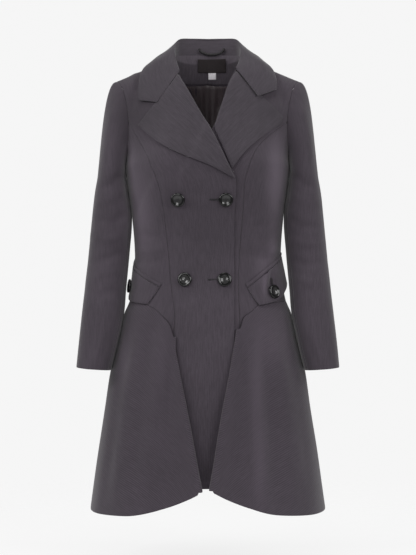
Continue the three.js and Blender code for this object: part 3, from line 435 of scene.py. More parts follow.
@dataclass(frozen=True)
class WoolFinish:
    """Brushed wool blend with a fine rib, painted shade in its seams, and painted highlights and shade
    given by the vertices; the UV map is in metres.
    """

    name: str = "wool"
    colour: tuple[int, int, int] = (58, 52, 59)
    rib: float = 0.0036
    rib_tone: float = 0.07
    rib_depth: float = 0.24
    nap: float = 0.35
    seam_shade: float = 0.3
    sheen: float = 0.22

    def build(self) -> bpy.types.Material:
        """Makes the material: rib, fibres, soft blotches, painted seam shade, and painted highlights
        and shade.
        """
        material = blank(self.name)
        tree = material.node_tree
        cloth = cloth_map(tree)
        across, _ = axes(tree, cloth)
        wander = noise(tree, cloth, 60.0, 2.0)
        ribs = ((across + wander * 0.0012) * (2 * math.pi / self.rib)).sine() * 0.5 + 0.5
        stretched = drawn_out(tree, cloth, (1.0, 0.16, 1.0))
        fibres = noise(tree, stretched, 1500.0, 4.0)
        streaks = noise(tree, stretched, 260.0, 3.0)
        solid = object_map(tree)
        blotches = noise(tree, solid, 9.0, 3.0)
        # painted shade: the wool darkens within about 1.3 mm of a seam, where shade falls between
        # panels
        edge = attribute(tree, "edge_gap")
        seam = edge.step(0.0013, 0.0002)
        tone = ribs * self.rib_tone + fibres * 0.5 + streaks * 0.55 + blotches * 0.35
        tone = tone - self.rib_tone / 2
        dark = toned(self.colour, 0.72)
        light = toned(self.colour, 1.42)
        woven = shade_mix(tree, tone.step(0.32, 1.08), dark, light)
        shade = toned(self.colour, 1 - self.seam_shade)
        # painted light: the vertices' value lightens the wool toward a painted highlight above 0 and
        # darkens it toward painted shade below 0
        painted_light_share = attribute(tree, "brushed")
        bright = toned(self.colour, 2.4)
        with_painted_light = shade_mix(tree, painted_light_share * -1.0, shade_mix(tree, painted_light_share, woven, bright), shade)
        base = shade_mix(tree, seam * 0.6, with_painted_light, shade)
        relief = ribs * self.rib_depth + fibres * self.nap + streaks * 0.5
        bump = bumped(tree, relief, 0.55, 0.0007)
        values = {"Base Color": base, "Roughness": fibres * 0.15 + 0.78, "Normal": bump}
        values |= {"Sheen Weight": self.sheen, "Sheen Roughness": 0.45, "Specular IOR Level": 0.25}
        return finished(material, values)


@dataclass(frozen=True)
class SatinFinish:
    """Smooth lining with a soft gloss and a fine weft."""

    name: str = "satin"
    colour: tuple[int, int, int] = (38, 33, 36)

    def build(self) -> bpy.types.Material:
        """Makes the material."""
        material = blank(self.name)
        tree = material.node_tree
        cloth = cloth_map(tree)
        stretched = drawn_out(tree, cloth, (0.12, 1.0, 1.0))
        weft = noise(tree, stretched, 2200.0, 2.0)
        waves = noise(tree, cloth, 35.0, 2.0)
        dark = toned(self.colour, 0.7)
        light = toned(self.colour, 1.35)
        base = shade_mix(tree, weft * 0.6 + waves * 0.5, dark, light)
        bump = bumped(tree, weft, 0.25, 0.0002)
        return finished(material, {"Base Color": base, "Roughness": 0.42, "Normal": bump})


@dataclass(frozen=True)
class TapeFinish:
    """Woven label or braid, with a fine crossing weave."""

    name: str
    colour: tuple[int, int, int]
    thread: float = 0.0009

    def build(self) -> bpy.types.Material:
        """Makes the material."""
        material = blank(self.name)
        tree = material.node_tree
        cloth = cloth_map(tree)
        across, down = axes(tree, cloth)
        turn = 2 * math.pi / self.thread
        warp, weft = (across * turn).sine(), (down * turn).sine()
        weave = warp * weft * 0.5 + 0.5
        edge = attribute(tree, "edge_gap")
        border = edge.step(0.0022, 0.0016)
        dark = toned(self.colour, 0.75)
        light = toned(self.colour, 1.2)
        base = shade_mix(tree, weave - border * 0.35, dark, light)
        bump = bumped(tree, weave, 0.4, 0.0003)
        return finished(material, {"Base Color": base, "Roughness": 0.75, "Normal": bump})


@dataclass(frozen=True)
class GlossFinish:
    """Polished black button plastic with faint handling marks."""

    name: str = "button_gloss"
    tone: float = 0.002
    rough: float = 0.06
    metallic: float = 0.0

    def build(self) -> bpy.types.Material:
        """Makes the material."""
        material = blank(self.name)
        tree = material.node_tree
        solid = object_map(tree)
        marks = noise(tree, solid, 420.0, 4.0)
        dark, light = [self.tone * 0.7] * 3 + [1.0], [self.tone * 1.4] * 3 + [1.0]
        base = shade_mix(tree, marks, dark, light)
        rough = marks.step(0.4, 0.75) * 0.03 + self.rough
        values = {"Base Color": base, "Roughness": rough, "Specular IOR Level": 0.5}
        return finished(material, values | {"Metallic": self.metallic})


@dataclass(frozen=True)
class Fold:
    """A soft trough or ridge laid along a line seen from the front or back."""

    line: tuple[tuple[float, float], ...]
    depth: float
    width: float
    back: bool = False
    steep: float = 1.0

    def rise(self, points: Grid) -> Grid:
        """How far the fold lifts each point.

        Args:
            points: points of the cloth.

        Returns:
            millimetres, negative in a trough.
        """
        flat = points[..., (0, 2)]
        best = np.full(flat.shape[:-1], 1e9)
        travel, signed = np.zeros_like(best), np.zeros_like(best)
        lengths = [math.dist(a, b) for a, b in zip(self.line, self.line[1:])]
        total, run = sum(lengths), 0.0
        for (start, end), length in zip(zip(self.line, self.line[1:]), lengths):
            way = (np.array(end) - np.array(start)) / length
            offset = flat - np.array(start)
            along = offset @ way
            held = np.clip(along, 0, length)
            gap = np.linalg.norm(offset - held[..., None] * way, axis=-1)
            nearer = gap < best
            best = np.where(nearer, gap, best)
            travel = np.where(nearer, (run + along) / total, travel)
            signed = np.where(nearer, offset[..., 0] * way[1] - offset[..., 1] * way[0], signed)
            run += length
        ends = ease(travel, -0.12, 0.3) * (1 - ease(travel, 0.7, 1.12))
        uneven = 1 + 0.22 * np.sin(travel * 9.0 + self.line[0][0])
        wide = self.width * np.where(signed > 0, 1.0, self.steep)
        right_side = (points[..., 1] > 0) == self.back
        return np.where(right_side, self.depth * ends * uneven * np.exp(-((best / wide) ** 2)), 0.0)


def laid(*rows: tuple[float, ...], back: bool = False) -> tuple[Fold, ...]:
    """Folds from rows of depth, width and the x and height of each point of the line.

    Args:
        rows: one row for each fold.
        back: whether they lie on the back.

    Returns:
        the folds.
    """
    return tuple(Fold(tuple(zip(row[2::2], row[3::2])), row[0], row[1], back) for row in rows)


# x, height, reach across and along, and the strength of painted light: above 0 a painted highlight
# that lightens the wool, below 0 painted shade that darkens it
PAINTED_LIGHT_SPOTS: tuple[tuple[float, float, float, float, float], ...] = (
    (-146, -292, 30, 96, 0.72), (-164, -190, 14, 52, 0.5), (-158, -82, 42, 42, -0.9),
    (140, -215, 18, 85, 0.8), (114, -404, 18, 34, 0.45), (140, -78, 32, 38, -0.5),
    (-178, -572, 16, 52, 0.5), (132, -545, 44, 64, 0.24), (134, -366, 10, 26, 0.4),
    (100, -640, 13, 90, 0.3), (106, -800, 14, 90, 0.3), (-96, -560, 16, 60, 0.12),
    (117, -446, 5, 24, 0.4), (-10, -330, 70, 110, -0.3),
)


def nap_lift(points: Grid) -> Grid:
    """The painted highlight (above 0) and painted shade (below 0) at each point, front and back alike.
    """
    lift = np.zeros(points.shape[:2])
    for x, height, wide, tall, most in PAINTED_LIGHT_SPOTS:
        across, along = (points[..., 0] - x) / wide, (points[..., 2] - height) / tall
        lift += most * np.exp(-(across**2) - along**2)
    return lift


@dataclass(frozen=True)
class Cut:
    """The flat size a piece was cut to, in metres, and its area where it isn't a rectangle."""

    width: float
    length: float
    area: Optional[float] = None


CUTS: dict[str, Cut] = {
    "front_overlap": Cut(0.17, 0.96, 0.125),
    "front_underlap": Cut(0.155, 0.955, 0.108),
    "side_front_right": Cut(0.195, 0.48, 0.043),
    "side_front_left": Cut(0.19, 0.485, 0.051),
    "side_back_right": Cut(0.135, 0.42, 0.037),
    "side_back_left": Cut(0.135, 0.42, 0.037),
    "back_centre": Cut(0.47, 0.99, 0.229),
    "skirt_front_right": Cut(0.455, 0.455, 0.127),
    "skirt_front_left": Cut(0.47, 0.455, 0.135),
    "skirt_back_right": Cut(0.245, 0.45, 0.088),
    "skirt_back_left": Cut(0.245, 0.45, 0.088),
    "sleeve_top_right": Cut(0.39, 0.61, 0.129),
    "sleeve_top_left": Cut(0.39, 0.61, 0.129),
    "sleeve_under_right": Cut(0.095, 0.47, 0.0375),
    "sleeve_under_left": Cut(0.095, 0.47, 0.0375),
    "lapel_right": Cut(0.14, 0.265, 0.0197),
    "lapel_left": Cut(0.145, 0.175, 0.017),
    "collar": Cut(0.58, 0.135, 0.052),
    "pocket_flap_right": Cut(0.152, 0.065, 0.0084),
    "pocket_flap_left": Cut(0.135, 0.07, 0.0077),
    "pocket_welt_right": Cut(0.15, 0.01, 0.0012),
    "pocket_welt_left": Cut(0.132, 0.01, 0.001),
    "neck_facing": Cut(0.24, 0.095, 0.0112),
    "back_lining": Cut(0.645, 0.875, 0.379),
    "side_allowance": Cut(0.027, 0.42, 0.0107),
    "neck_label": Cut(0.065, 0.0345, 0.002),
    "size_tag": Cut(0.017, 0.0145),
}


@dataclass
class Cloth:
    """One piece of cloth, from a function of two shares."""

    name: str
    place: Place
    columns: int
    rows: int
    thickness: float
    material: bpy.types.Material
    cut: Cut
    slot: Slot = Slot.WOOL
    turned: bool = False
    folds: tuple[Fold, ...] = ()
    grain: float = 0.0
    flat_weave: bool = False
    seams: str = ""
    free: str = ""
    seam_depth: float = 0.3
    seam_width: float = 1.6
    uneven: float = 0.7
    held: str = "hung"
    rests_on: tuple[str, ...] = ()
    node: Optional[str] = None

    def grid(self) -> tuple[Grid, dict[str, Grid]]:
        """Places the grid and lays folds, seams and unevenness on it.

        Returns:
            points by row and column, and the distance from each edge in millimetres.
        """
        u, v = np.meshgrid(np.linspace(0, 1, self.columns + 1), np.linspace(0, 1, self.rows + 1))
        points = self.place(u, v)
        out = unit(np.cross(np.gradient(points, axis=1), np.gradient(points, axis=0)))
        out = -out if self.turned else out
        gaps = self.lengths(points)
        rise = sum((fold.rise(points) for fold in self.folds), np.zeros(u.shape))
        x, y, z = (points[..., axis] for axis in range(3))
        slow = np.sin(x / 31 + z / 47 + y / 60) + np.sin(z / 29 - x / 53 + 1.3)
        slow = slow + np.sin(y / 23 + z / 71)
        rise += self.uneven * slow / 3
        for edge in self.seams.split():
            rise *= ease(gaps[edge], *SEAM_FADE)
        for edge in (self.seams + " " + self.free).split():
            rise -= self.seam_depth * np.exp(-((gaps[edge] / self.seam_width) ** 2))
        return points + out * rise[..., None], gaps

    @staticmethod
    def lengths(points: Grid) -> dict[str, Grid]:
        """Distances along the cloth from its four edges."""
        across = np.linalg.norm(np.diff(points, axis=1), axis=-1)
        down = np.linalg.norm(np.diff(points, axis=0), axis=-1)
        from_first = np.pad(np.cumsum(across, axis=1), ((0, 0), (1, 0)))
        from_top = np.pad(np.cumsum(down, axis=0), ((1, 0), (0, 0)))
        return {
            "first": from_first,
            "last": from_first[:, -1:] - from_first,
            "top": from_top,
            "foot": from_top[-1:] - from_top,
        }

    def build(self) -> bpy.types.Object:
        """Returns:
            the object.
        """
        points, gaps = self.grid()
        nearest = np.full(points.shape[:2], 1e3)
        for edge in self.seams.split():
            nearest = np.minimum(nearest, gaps[edge])
        shape = bmesh.new()
        bmesh.ops.create_grid(shape, x_segments=self.columns, y_segments=self.rows, size=0.5)
        layer = shape.verts.layers.float.new("edge_gap")
        # each vertex carries the painted highlight and painted shade that the wool's colour takes
        brushed = shape.verts.layers.float.new("brushed")
        nap = nap_lift(points)
        cloth = shape.loops.layers.uv.new("cloth")
        turn = math.radians(self.grain)
        cosine, sine = math.cos(turn), math.sin(turn)
        middle = gaps["first"][:, self.columns // 2][:, None]
        wide, tall = (gaps["first"] - middle) * MM, gaps["top"] * MM
        if self.flat_weave:
            wide, tall = points[..., 0] * MM, -points[..., 2] * MM
        place = {}
        for vert in shape.verts:
            column = round((vert.co.x + 0.5) * self.columns)
            row = round((vert.co.y + 0.5) * self.rows)
            place[vert] = (row, column)
        for vert, spot in place.items():
            vert.co = Vector(points[spot]) * MM
            vert[layer] = nearest[spot] * MM
            vert[brushed] = nap[spot]
        for face in shape.faces:
            face.smooth = True
            for loop in face.loops:
                spot = place[loop.vert]
                a, b = wide[spot], tall[spot]
                loop[cloth].uv = (a * cosine + b * sine, b * cosine - a * sine)
        if self.turned:
            bmesh.ops.reverse_faces(shape, faces=shape.faces[:])
        piece = finish_mesh(self.name + "_cloth", shape, self.material)
        wall = piece.modifiers.new("wall", "SOLIDIFY")
        wall.thickness, wall.offset = self.thickness * MM, -1
        soft = piece.modifiers.new("soft_edge", "BEVEL")
        soft.width, soft.segments = EDGE_ROUND * self.thickness * MM, 2
        soft.limit_method, soft.angle_limit = "ANGLE", math.radians(EDGE_TURN)
        carry(piece, self.node or self.name)
        across, down = gaps["first"][:, -1].max() * MM, gaps["top"][-1].max() * MM
        log.info("%s %.3f x %.3f, %.4f m2", self.name, across, down, self.area(points))
        return piece

    @staticmethod
    def area(points: Grid) -> float:
        """Area of the laid cloth in square metres."""
        across, down = np.diff(points, axis=1)[:-1], np.diff(points, axis=0)[:, :-1]
        return float(np.linalg.norm(np.cross(across, down), axis=-1).sum()) * MM * MM


def finish_mesh(
    name: str, shape: bmesh.types.BMesh, *materials: bpy.types.Material
) -> bpy.types.Object:
    """Turns a bmesh into an object at the origin."""
    mesh = bpy.data.meshes.new(name)
    shape.to_mesh(mesh)
    shape.free()
    for material in materials:
        mesh.materials.append(material)
    piece = bpy.data.objects.new(name, mesh)
    bpy.context.scene.collection.objects.link(piece)
    return piece


def skin(shape: bmesh.types.BMesh, rings: list[list[bmesh.types.BMVert]]) -> None:
    """Joins each ring of vertices to the next by smooth faces."""
    for first, second in zip(rings, rings[1:]):
        for corner in range(len(first)):
            after = (corner + 1) % len(first)
            corners = (first[corner], first[after], second[after], second[corner])
            shape.faces.new(corners).smooth = True


def paint(made: dict, index: int, smooth: bool) -> None:
    """Gives the faces that an operator made a material slot."""
    for face in {face for vert in made["verts"] for face in vert.link_faces}:
        face.material_index, face.smooth = index, smooth


def carry(piece: bpy.types.Object, replaced: Optional[str] = None) -> None:
    """Fixes a piece to the coat's one body and hides the imported part that it stands for."""
    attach(piece, "root")
    if replaced:
        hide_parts(replaced)


@dataclass
class Fronts:
    """The two fronts: the wearer's right laps over the left."""

    wool: bpy.types.Material
    lap: float = 3.7
    lap_ramp: tuple[float, float] = (27, 8)
    armhole_level: float = 66
    top_level: float = 198.5
    hem_level: float = -640
    overlap_edge: tuple[tuple[float, float], ...] = (
        (-640, 53.5), (-100, 54), (-24, 57.5), (0, 46), (33, 6), (55, -17), (88, -42.6), (118, -59.2),
        (160, -67), (200, -72),
    )
    underlap_edge: tuple[tuple[float, float], ...] = (
        (-640, -46), (-100, -46), (-24, -44), (0, -30), (33, 6), (55, 24), (94, 42), (122, 55.5),
        (160, 67), (200, 72),
    )
    princess_right: tuple[tuple[float, float], ...] = (
        (-640, -75), (-347, -69.5), (-300, -67.5), (-244, -75), (-166, -82), (-81, -92), (-27, -104),
        (11, -122), (40, -146), (66, -166),
    )
    princess_left: tuple[tuple[float, float], ...] = (
        (-640, 70), (-330, 66), (-250, 63), (-166, 66), (-81, 73), (-36, 75), (0, 84), (25, 104),
        (50, 141), (66, 166),
    )
    folds_right: tuple[Fold, ...] = laid(
        (-2.6, 8, -139, 0, -152, -45, -160, -82), (1.6, 8, -150, 8, -163, -40),
        (1.8, 7, 60, -205, 36, -192, 12, -178), (-1.4, 6, 56, -214, 30, -212, 4, -205),
        (-1.0, 10, -58, -262, -20, -255, 30, -262), (-1.3, 13, -88, -330, -40, -352, 20, -350),
        (1.2, 14, -60, -385, -10, -392, 40, -400), (1.6, 17, -30, -440, -18, -560, -10, -700),
        (-1.5, 16, 24, -450, 28, -600, 30, -760), (-1.2, 14, -60, -560, -52, -700, -40, -830),
    )
    folds_left: tuple[Fold, ...] = laid(
        (-2.4, 8, 139, 4, 152, -42, 160, -80), (1.2, 9, 126, -60, 140, -100, 150, -130),
        (1.0, 10, 62, -330, 60, -360, 64, -400),
    )

    def rise(self, theta: Grid, level: Grid) -> Grid:
        """How far the overlap stands off the body where it covers the underlap."""
        start = Curve(self.underlap_edge)(level)
        x = BODY.at(theta, level)[..., 0]
        share = np.clip((x - start + self.lap_ramp[0]) / (self.lap_ramp[0] - self.lap_ramp[1]), 0, 1)
        return self.lap * share * share * (3 - 2 * share)

    def panel(self, side: Side) -> Place:
        """Where a front lies, from its princess seam to its closing edge."""
        right = side is Side.RIGHT
        princess = Curve(sided(self, "princess", side))
        edge = Curve(self.overlap_edge if right else self.underlap_edge)

        def place(u: Grid, v: Grid) -> Grid:
            """Points by shares from the seam to the edge and from the shoulder to the hem."""
            level = mix(self.top_level, self.hem_level, v)
            seam = BODY.angle_at(princess(level), level)
            seam = np.where(level >= self.armhole_level, side.value * QUARTER, seam)
            theta = mix(seam - side.value * ARMHOLE_TURN, BODY.angle_at(edge(level), level), u)
            return BODY.raised(theta, level, self.rise(theta, level) if right else 0.0)

        return place

    def build(self) -> None:
        """Makes both fronts."""
        Cloth(
            "front_overlap", self.panel(Side.RIGHT), 66, 210, 2.0, self.wool, CUTS["front_overlap"],
            turned=True, folds=self.folds_right, seams="first", free="last foot",
        ).build()
        Cloth(
            "front_underlap", self.panel(Side.LEFT), 56, 200, 2.0, self.wool, CUTS["front_underlap"],
            folds=self.folds_left, seams="first", free="last foot",
        ).build()


@dataclass
class Bodice:
    """Side panels from the armhole to the hip seam, and the back."""

    wool: bpy.types.Material
    fronts: Fronts
    back_princess: tuple[tuple[float, float], ...] = (
        (-700, 122), (-400, 100), (-275, 92), (-174, 84), (-40, 104), (30, 130), (84, 168),
    )
    # turn in degrees against height
    yoke_right: tuple[tuple[float, float], ...] = (
        (18.8, -546), (22, -523), (27, -508), (34.4, -493), (45.6, -482), (90, -474), (130, -476),
        (180, -482),
    )
    yoke_left: tuple[tuple[float, float], ...] = (
        (18.1, -530), (21.1, -508), (27.4, -496), (34.8, -483), (60, -476), (90, -474), (130, -476),
        (180, -482),
    )
    hem: tuple[tuple[float, float], ...] = (
        (0, -852), (7, -870), (17, -887), (30, -900.5), (44, -906), (64, -908), (90, -906.5),
        (120, -904), (150, -897), (180, -892),
    )
    spread_level: float = -150
    back_top: float = 84
    back_foot: float = -279
    back_length: float = 780
    hem_turn: float = 22
    upper: float = 0.26
    foot_gap: float = 0.2
    top_gap: float = 2
    neck_back_level: float = 127
    folds_front: tuple[Fold, ...] = laid(
        (2.2, 5, -148, -96, -140, -112, -132, -128), (-1.8, 5, -160, -92, -152, -112, -146, -134),
        (-2.4, 10, -117, -218, -140, -262, -150, -300), (1.6, 9, -98, -200, -112, -232, -118, -262),
        (-1.8, 9, -146, -330, -118, -342, -92, -338), (1.6, 9, -150, -366, -120, -372, -84, -362),
        (-1.5, 8, -150, -392, -122, -396, -92, -388), (-1.5, 9, 146, -300, 118, -318, 84, -322),
        (3.2, 9, 142, -352, 135, -374, 126, -398), (1.0, 10, 148, -348, 112, -362, 78, -356),
        (-1.6, 9, 148, -380, 116, -388, 84, -380), (-1.4, 11, 120, -212, 138, -250, 150, -290),
    )
    folds_back: tuple[Fold, ...] = laid(
        (-1.9, 9, -150, -352, -112, -366, -76, -362), (1.6, 9, -152, -382, -120, -390, -84, -384),
        (-1.8, 9, 150, -346, 114, -360, 80, -352), (1.5, 9, 152, -386, 112, -394, 84, -388),
        (-1.7, 12, -140, -215, -120, -262, -112, -310), (-1.6, 12, 142, -212, 122, -256, 110, -306),
        back=True,
    )
    folds_centre: tuple[Fold, ...] = laid(
        (-2.0, 10, -62, -362, -10, -372, 52, -364), (1.8, 10, -58, -392, 0, -402, 60, -394),
        (1.3, 11, -70, -336, -20, -340, 44, -334), (-1.7, 13, -120, -60, -104, -120, -96, -180),
        (-1.7, 13, 120, -58, 106, -122, 98, -176), (-1.1, 9, -46, -16, 0, -26, 46, -16),
        (2.6, 16, -40, -520, -46, -660, -60, -850), (-2.4, 18, 6, -560, 2, -700, -6, -860),
        (2.4, 16, 50, -530, 56, -680, 66, -850),
        back=True,
    )

    def side_panel(self, side: Side, back: bool) -> Place:
        """Where a side panel lies, from its princess seam to its side seam."""
        princess = Curve(self.back_princess if back else sided(self.fronts, "princess", side))
        rows = sided(self, "yoke", side)
        yoke = Curve(rows)
        top = (self.back_top if back else self.fronts.armhole_level) - self.top_gap
        foot = self.back_foot if back else rows[0][1] - BODY.armpit_z
        side_seam = QUARTER + (SEAM_TURN if back else -SEAM_TURN)

        def seam_angle(level: Grid) -> Grid:
            """The princess seam's angle at a level."""
            angle = np.abs(BODY.angle_at(princess(level), level, back))
            return angle + (-SEAM_TURN if back else SEAM_TURN)

        def place(u: Grid, v: Grid) -> Grid:
            """Points by shares from the princess seam to the side seam and from top to foot."""
            level = mix(top, foot, v)
            theta = mix(seam_angle(level), side_seam, u)
            foot_angle = mix(seam_angle(np.full_like(u, foot)), side_seam, u) / DEGREE
            end = np.where(u > 0, yoke(foot_angle) - BODY.armpit_z, foot) + self.foot_gap
            fall = np.maximum(0, (level - self.spread_level) / (foot - self.spread_level))
            level = np.where(fall > 0, mix(self.spread_level, end, fall), level)
            return BODY.raised(side.value * theta, level)

        return place

    def neck_share(self) -> float:
        """The share of a quarter turn at which the shoulder seam meets the neck."""
        return float(BODY.angle_at(np.array(BODY.neck[0]), np.array(BODY.levels)) / QUARTER)

    def back_neck(self, share: Grid) -> Grid:
        """The level of the neck's edge across the back."""
        around = np.minimum(1, np.abs(share) / self.neck_share())
        dip = 1 - np.sqrt(1 - around * around)
        return np.minimum(mix(self.neck_back_level, BODY.levels, dip), BODY.levels - 0.3)

    def back_place(self, u: Grid, v: Grid) -> Grid:
        """Where the back lies, by shares across it and from the neck to the hem."""
        column, upper = 2 * u - 1, self.upper
        level_foot = self.back_top - self.back_length
        high = mix(self.back_neck(column), self.back_top, np.clip(v / upper, 0, 1))
        low = mix(self.back_top, level_foot, np.clip((v - upper) / (1 - upper), 0, 1))
        hem = Curve(self.hem)(180 - self.hem_turn * np.abs(column)) - BODY.armpit_z
        skirt = (low - self.back_foot) / (level_foot - self.back_foot)
        low = np.where(low < self.back_foot, mix(self.back_foot, hem, skirt), low)
        level = np.where(v < upper, high, low)
        seam = HALF_TURN - BODY.angle_at(Curve(self.back_princess)(level), level, True) - SEAM_TURN
        half = np.where(level >= self.back_top, QUARTER - ARMHOLE_TURN, seam)
        return BODY.raised(np.where(column < 0, -1, 1) * (HALF_TURN - np.abs(column) * half), level)

    def build(self) -> None:
        """Makes the side panels and the back."""
        for side in Side:
            for back, word in ((False, "front"), (True, "back")):
                name = f"side_{word}_{side.word}"
                Cloth(
                    name, self.side_panel(side, back), 44, 110, 2.0, self.wool, CUTS[name],
                    turned=(side is Side.LEFT) != back, seams="first last foot",
                    folds=self.folds_back if back else self.folds_front,
                ).build()
        Cloth(
            "back_centre", self.back_place, 96, 220, 2.0, self.wool, CUTS["back_centre"],
            seams="first last top", free="foot", folds=self.folds_centre,
        ).build()


@dataclass
class Skirt:
    """Four flared panels; the front edges roll forward as soft folds."""

    wool: bpy.types.Material
    bodice: Bodice
    stand: float = 40
    drop: float = 310
    allowance_turn: float = 0.1
    allowance_inset: float = 0.017
    # how far an allowance ends short of the hip seam and of the hem
    allowance_ends: tuple[float, float] = (8, 9)
    hip_gap: float = 0.1
    flute_fade: tuple[float, float] = (20, 372)
    # turns at the side seam, and at the back seam's top and foot
    back_turns: tuple[float, float, float] = (90, 152, 158)
    # shares of the columns at which the return and the roll end
    return_end: float = 0.12
    roll_end: float = 0.2
    crowding: float = 1.15
    settling: float = 0.05
    # top x, top height, hem x, hem height and the furthest out that the fold may lie
    fold_right: tuple[float, ...] = (70.7, -544, 10, -852, 64.5)
    fold_left: tuple[float, ...] = (59.3, -526, 1.5, -852, 59.3)
    roll: tuple[float, float, float, float] = (2.4, 8, 6.4, 9)
    # turn in degrees, rise and spread
    flutes_right: tuple[tuple[float, float, float], ...] = (
        (38, 8, 9), (68, 6, 8), (116, 9, 9), (142, 10, 8),
    )
    flutes_left: tuple[tuple[float, float, float], ...] = (
        (25, 9, 7), (60, 7, 9), (112, 10, 9), (140, 9, 8),
    )
    folds_front: tuple[Fold, ...] = laid(
        (3.2, 12, -92, -520, -104, -640, -122, -900), (-3.4, 13, -112, -512, -132, -640, -158, -900),
        (2.6, 13, -132, -500, -160, -640, -190, -905), (-2.8, 12, -76, -560, -74, -690, -66, -870),
        (-2.2, 12, -150, -520, -184, -650, -216, -905), (3.6, 11, 84, -520, 92, -640, 98, -890),
        (-3.8, 13, 104, -505, 124, -640, 136, -900), (2.6, 13, 124, -500, 156, -640, 178, -905),
        (-2.6, 10, 72, -570, 66, -700, 56, -860), (-2.4, 12, 146, -520, 186, -660, 214, -905),
    )
    folds_back: tuple[Fold, ...] = laid(
        (3.2, 14, -100, -500, -118, -640, -140, -890), (-3.4, 14, -124, -500, -150, -640, -176, -895),
        (2.8, 14, -150, -505, -186, -660, -214, -900), (-3.0, 14, 98, -500, 114, -640, 134, -890),
        (3.4, 14, 122, -500, 150, -650, 178, -895), (-2.8, 14, 150, -500, 188, -660, 220, -900),
        back=True,
    )

    def surface(self, side: Side, turn: Grid, z: Grid, extra: Grid = 0.0) -> Grid:
        """The flared surface.

        Args:
            side: the wearer's side.
            turn: angle from the front, in radians.
            z: height.
            extra: millimetres added to the depth.

        Returns:
            points.
        """
        yoke = Curve(sided(self.bodice, "yoke", side))
        fall = np.maximum(0, yoke(turn / DEGREE) - z)
        back = turn > QUARTER
        bend = np.where(back, HALF_TURN - turn, turn)
        ring = Curve(BODY.sections)(z)
        depth = np.where(back, ring[..., 2], ring[..., 1] + self.stand * fall / self.drop)
        for place, rise, spread in sided(self, "flutes", side):
            away = (turn / DEGREE - place) / spread
            depth = depth + rise * np.exp(-away * away) * ease(fall, *self.flute_fade)
        y = (depth + extra) * BODY.deep(bend)
        x = ring[..., 0] * BODY.across(bend)
        return np.stack([side.value * x, np.where(back, y, -y), z], axis=-1)

    def fold_angle(self, fold: tuple[float, ...], z: Grid) -> Grid:
        """How far the front edge reaches towards the middle, as an angle."""
        top_x, top_z, hem_x, hem_z, most = fold
        share = np.clip((top_z - z) / (top_z - hem_z), 0, 1)
        x = np.minimum(mix(top_x, hem_x, share), most)
        return np.abs(BODY.angle_at(x, np.maximum(z, hem_z) - BODY.armpit_z))

    def front_place(self, side: Side) -> Place:
        """Where a front panel lies: the return under the fold, the roll and the outer cloth."""
        fold = sided(self, "fold", side)
        yoke = Curve(sided(self.bodice, "yoke", side))
        princess = Curve(sided(self.bodice.fronts, "princess", side))
        hem = Curve(self.bodice.hem)
        sign = side.value
        top_turn = float(self.fold_angle(fold, np.array(float(fold[1]))))
        hem_turn = float(self.fold_angle(fold, np.array(float(fold[3]))))

        def outer(row: Grid, share: Grid) -> Grid:
            """The outer cloth by shares from the fold to the side seam."""
            top_z = yoke(mix(top_turn, QUARTER - SEAM_TURN, share) / DEGREE) - self.hip_gap
            z = mix(top_z, hem(mix(hem_turn, QUARTER - SEAM_TURN, share) / DEGREE), row)
            start = np.where(z > fold[1], top_turn, self.fold_angle(fold, z))
            turn = mix(start, QUARTER - SEAM_TURN, share)
            away = (turn - start) / DEGREE / self.roll[3]
            return self.surface(side, turn, z, self.roll[2] * (1 - row) * np.exp(-away * away))

        def place(u: Grid, v: Grid) -> Grid:
            """Points by row: the return, then the roll, then the outer cloth."""
            points = np.empty((*u.shape, 3))
            fine = np.linspace(0, 1, 400)
            for row, down in enumerate(v[:, 0]):
                radius = mix(self.roll[0], self.roll[1], down)
                line = outer(np.full_like(fine, down), fine)
                edge = line[0]
                level = edge[2] - BODY.armpit_z
                seam_x = np.abs(princess(np.array(level))) + 0.3
                seam_turn = BODY.angle_at(seam_x, np.array(level))
                seam = BODY.raised(sign * seam_turn, np.array(level), np.array(0.2 * (1 - down)))
                centre = np.array([edge[0] + sign * radius, edge[1] + radius, edge[2]])
                inside = centre + [0, radius, 0]
                share = u[row]
                back = seam + (inside - seam) * np.clip(share / self.return_end, 0, 1)[:, None]
                turned = (share - self.return_end) / (self.roll_end - self.return_end)
                angle = np.clip(turned, 0, 1) * HALF_TURN
                ring = np.stack([-sign * np.sin(angle), np.cos(angle), 0 * angle], -1)
                away = sign * (line[:, 0] - edge[0])
                begin = np.interp(radius, away, fine)
                flat = np.clip((share - self.roll_end) / (1 - self.roll_end), 0, 1)
                far = mix(begin, 1.0, flat**self.crowding)
                cloth = np.stack([np.interp(far, fine, line[:, axis]) for axis in range(3)], -1)
                offset = edge[1] - np.interp(begin, fine, line[:, 1])
                cloth[:, 1] += offset * np.exp(-(far - begin) / self.settling)
                rolled = centre + ring * radius
                points[row] = np.where((share > self.roll_end)[:, None], cloth, rolled)
                points[row] = np.where((share < self.return_end)[:, None], back, points[row])
            return points

        return place

    def back_place(self, side: Side) -> Place:
        """Where a back panel lies, from the side seam to the back's princess seam."""
        yoke = Curve(sided(self.bodice, "yoke", side))
        princess, hem = Curve(self.bodice.back_princess), Curve(self.bodice.hem)

        def place(u: Grid, v: Grid) -> Grid:
            """Points by shares."""
            start, top, low = self.back_turns
            z = mix(yoke(mix(start, top, u)) - self.hip_gap, hem(mix(start, low, u)), v)
            level = z - BODY.armpit_z
            seam = np.abs(BODY.angle_at(princess(level), level, True))
            return self.surface(side, mix(QUARTER + SEAM_TURN, seam - SEAM_TURN, u), z)

        return place

    def allowance(self, side: Side) -> Place:
        """Where the pressed seam allowance lies behind a side seam."""
        yoke = Curve(sided(self.bodice, "yoke", side))
        seam, (short_top, short_foot) = np.array(90.0), self.allowance_ends
        top, foot = float(yoke(seam)) - short_top, float(Curve(self.bodice.hem)(seam)) + short_foot

        def place(u: Grid, v: Grid) -> Grid:
            """Points by shares across and down."""
            point = self.surface(side, QUARTER + (u - 0.5) * self.allowance_turn, mix(top, foot, v))
            point[..., 0] *= 1 - self.allowance_inset
            return point

        return place

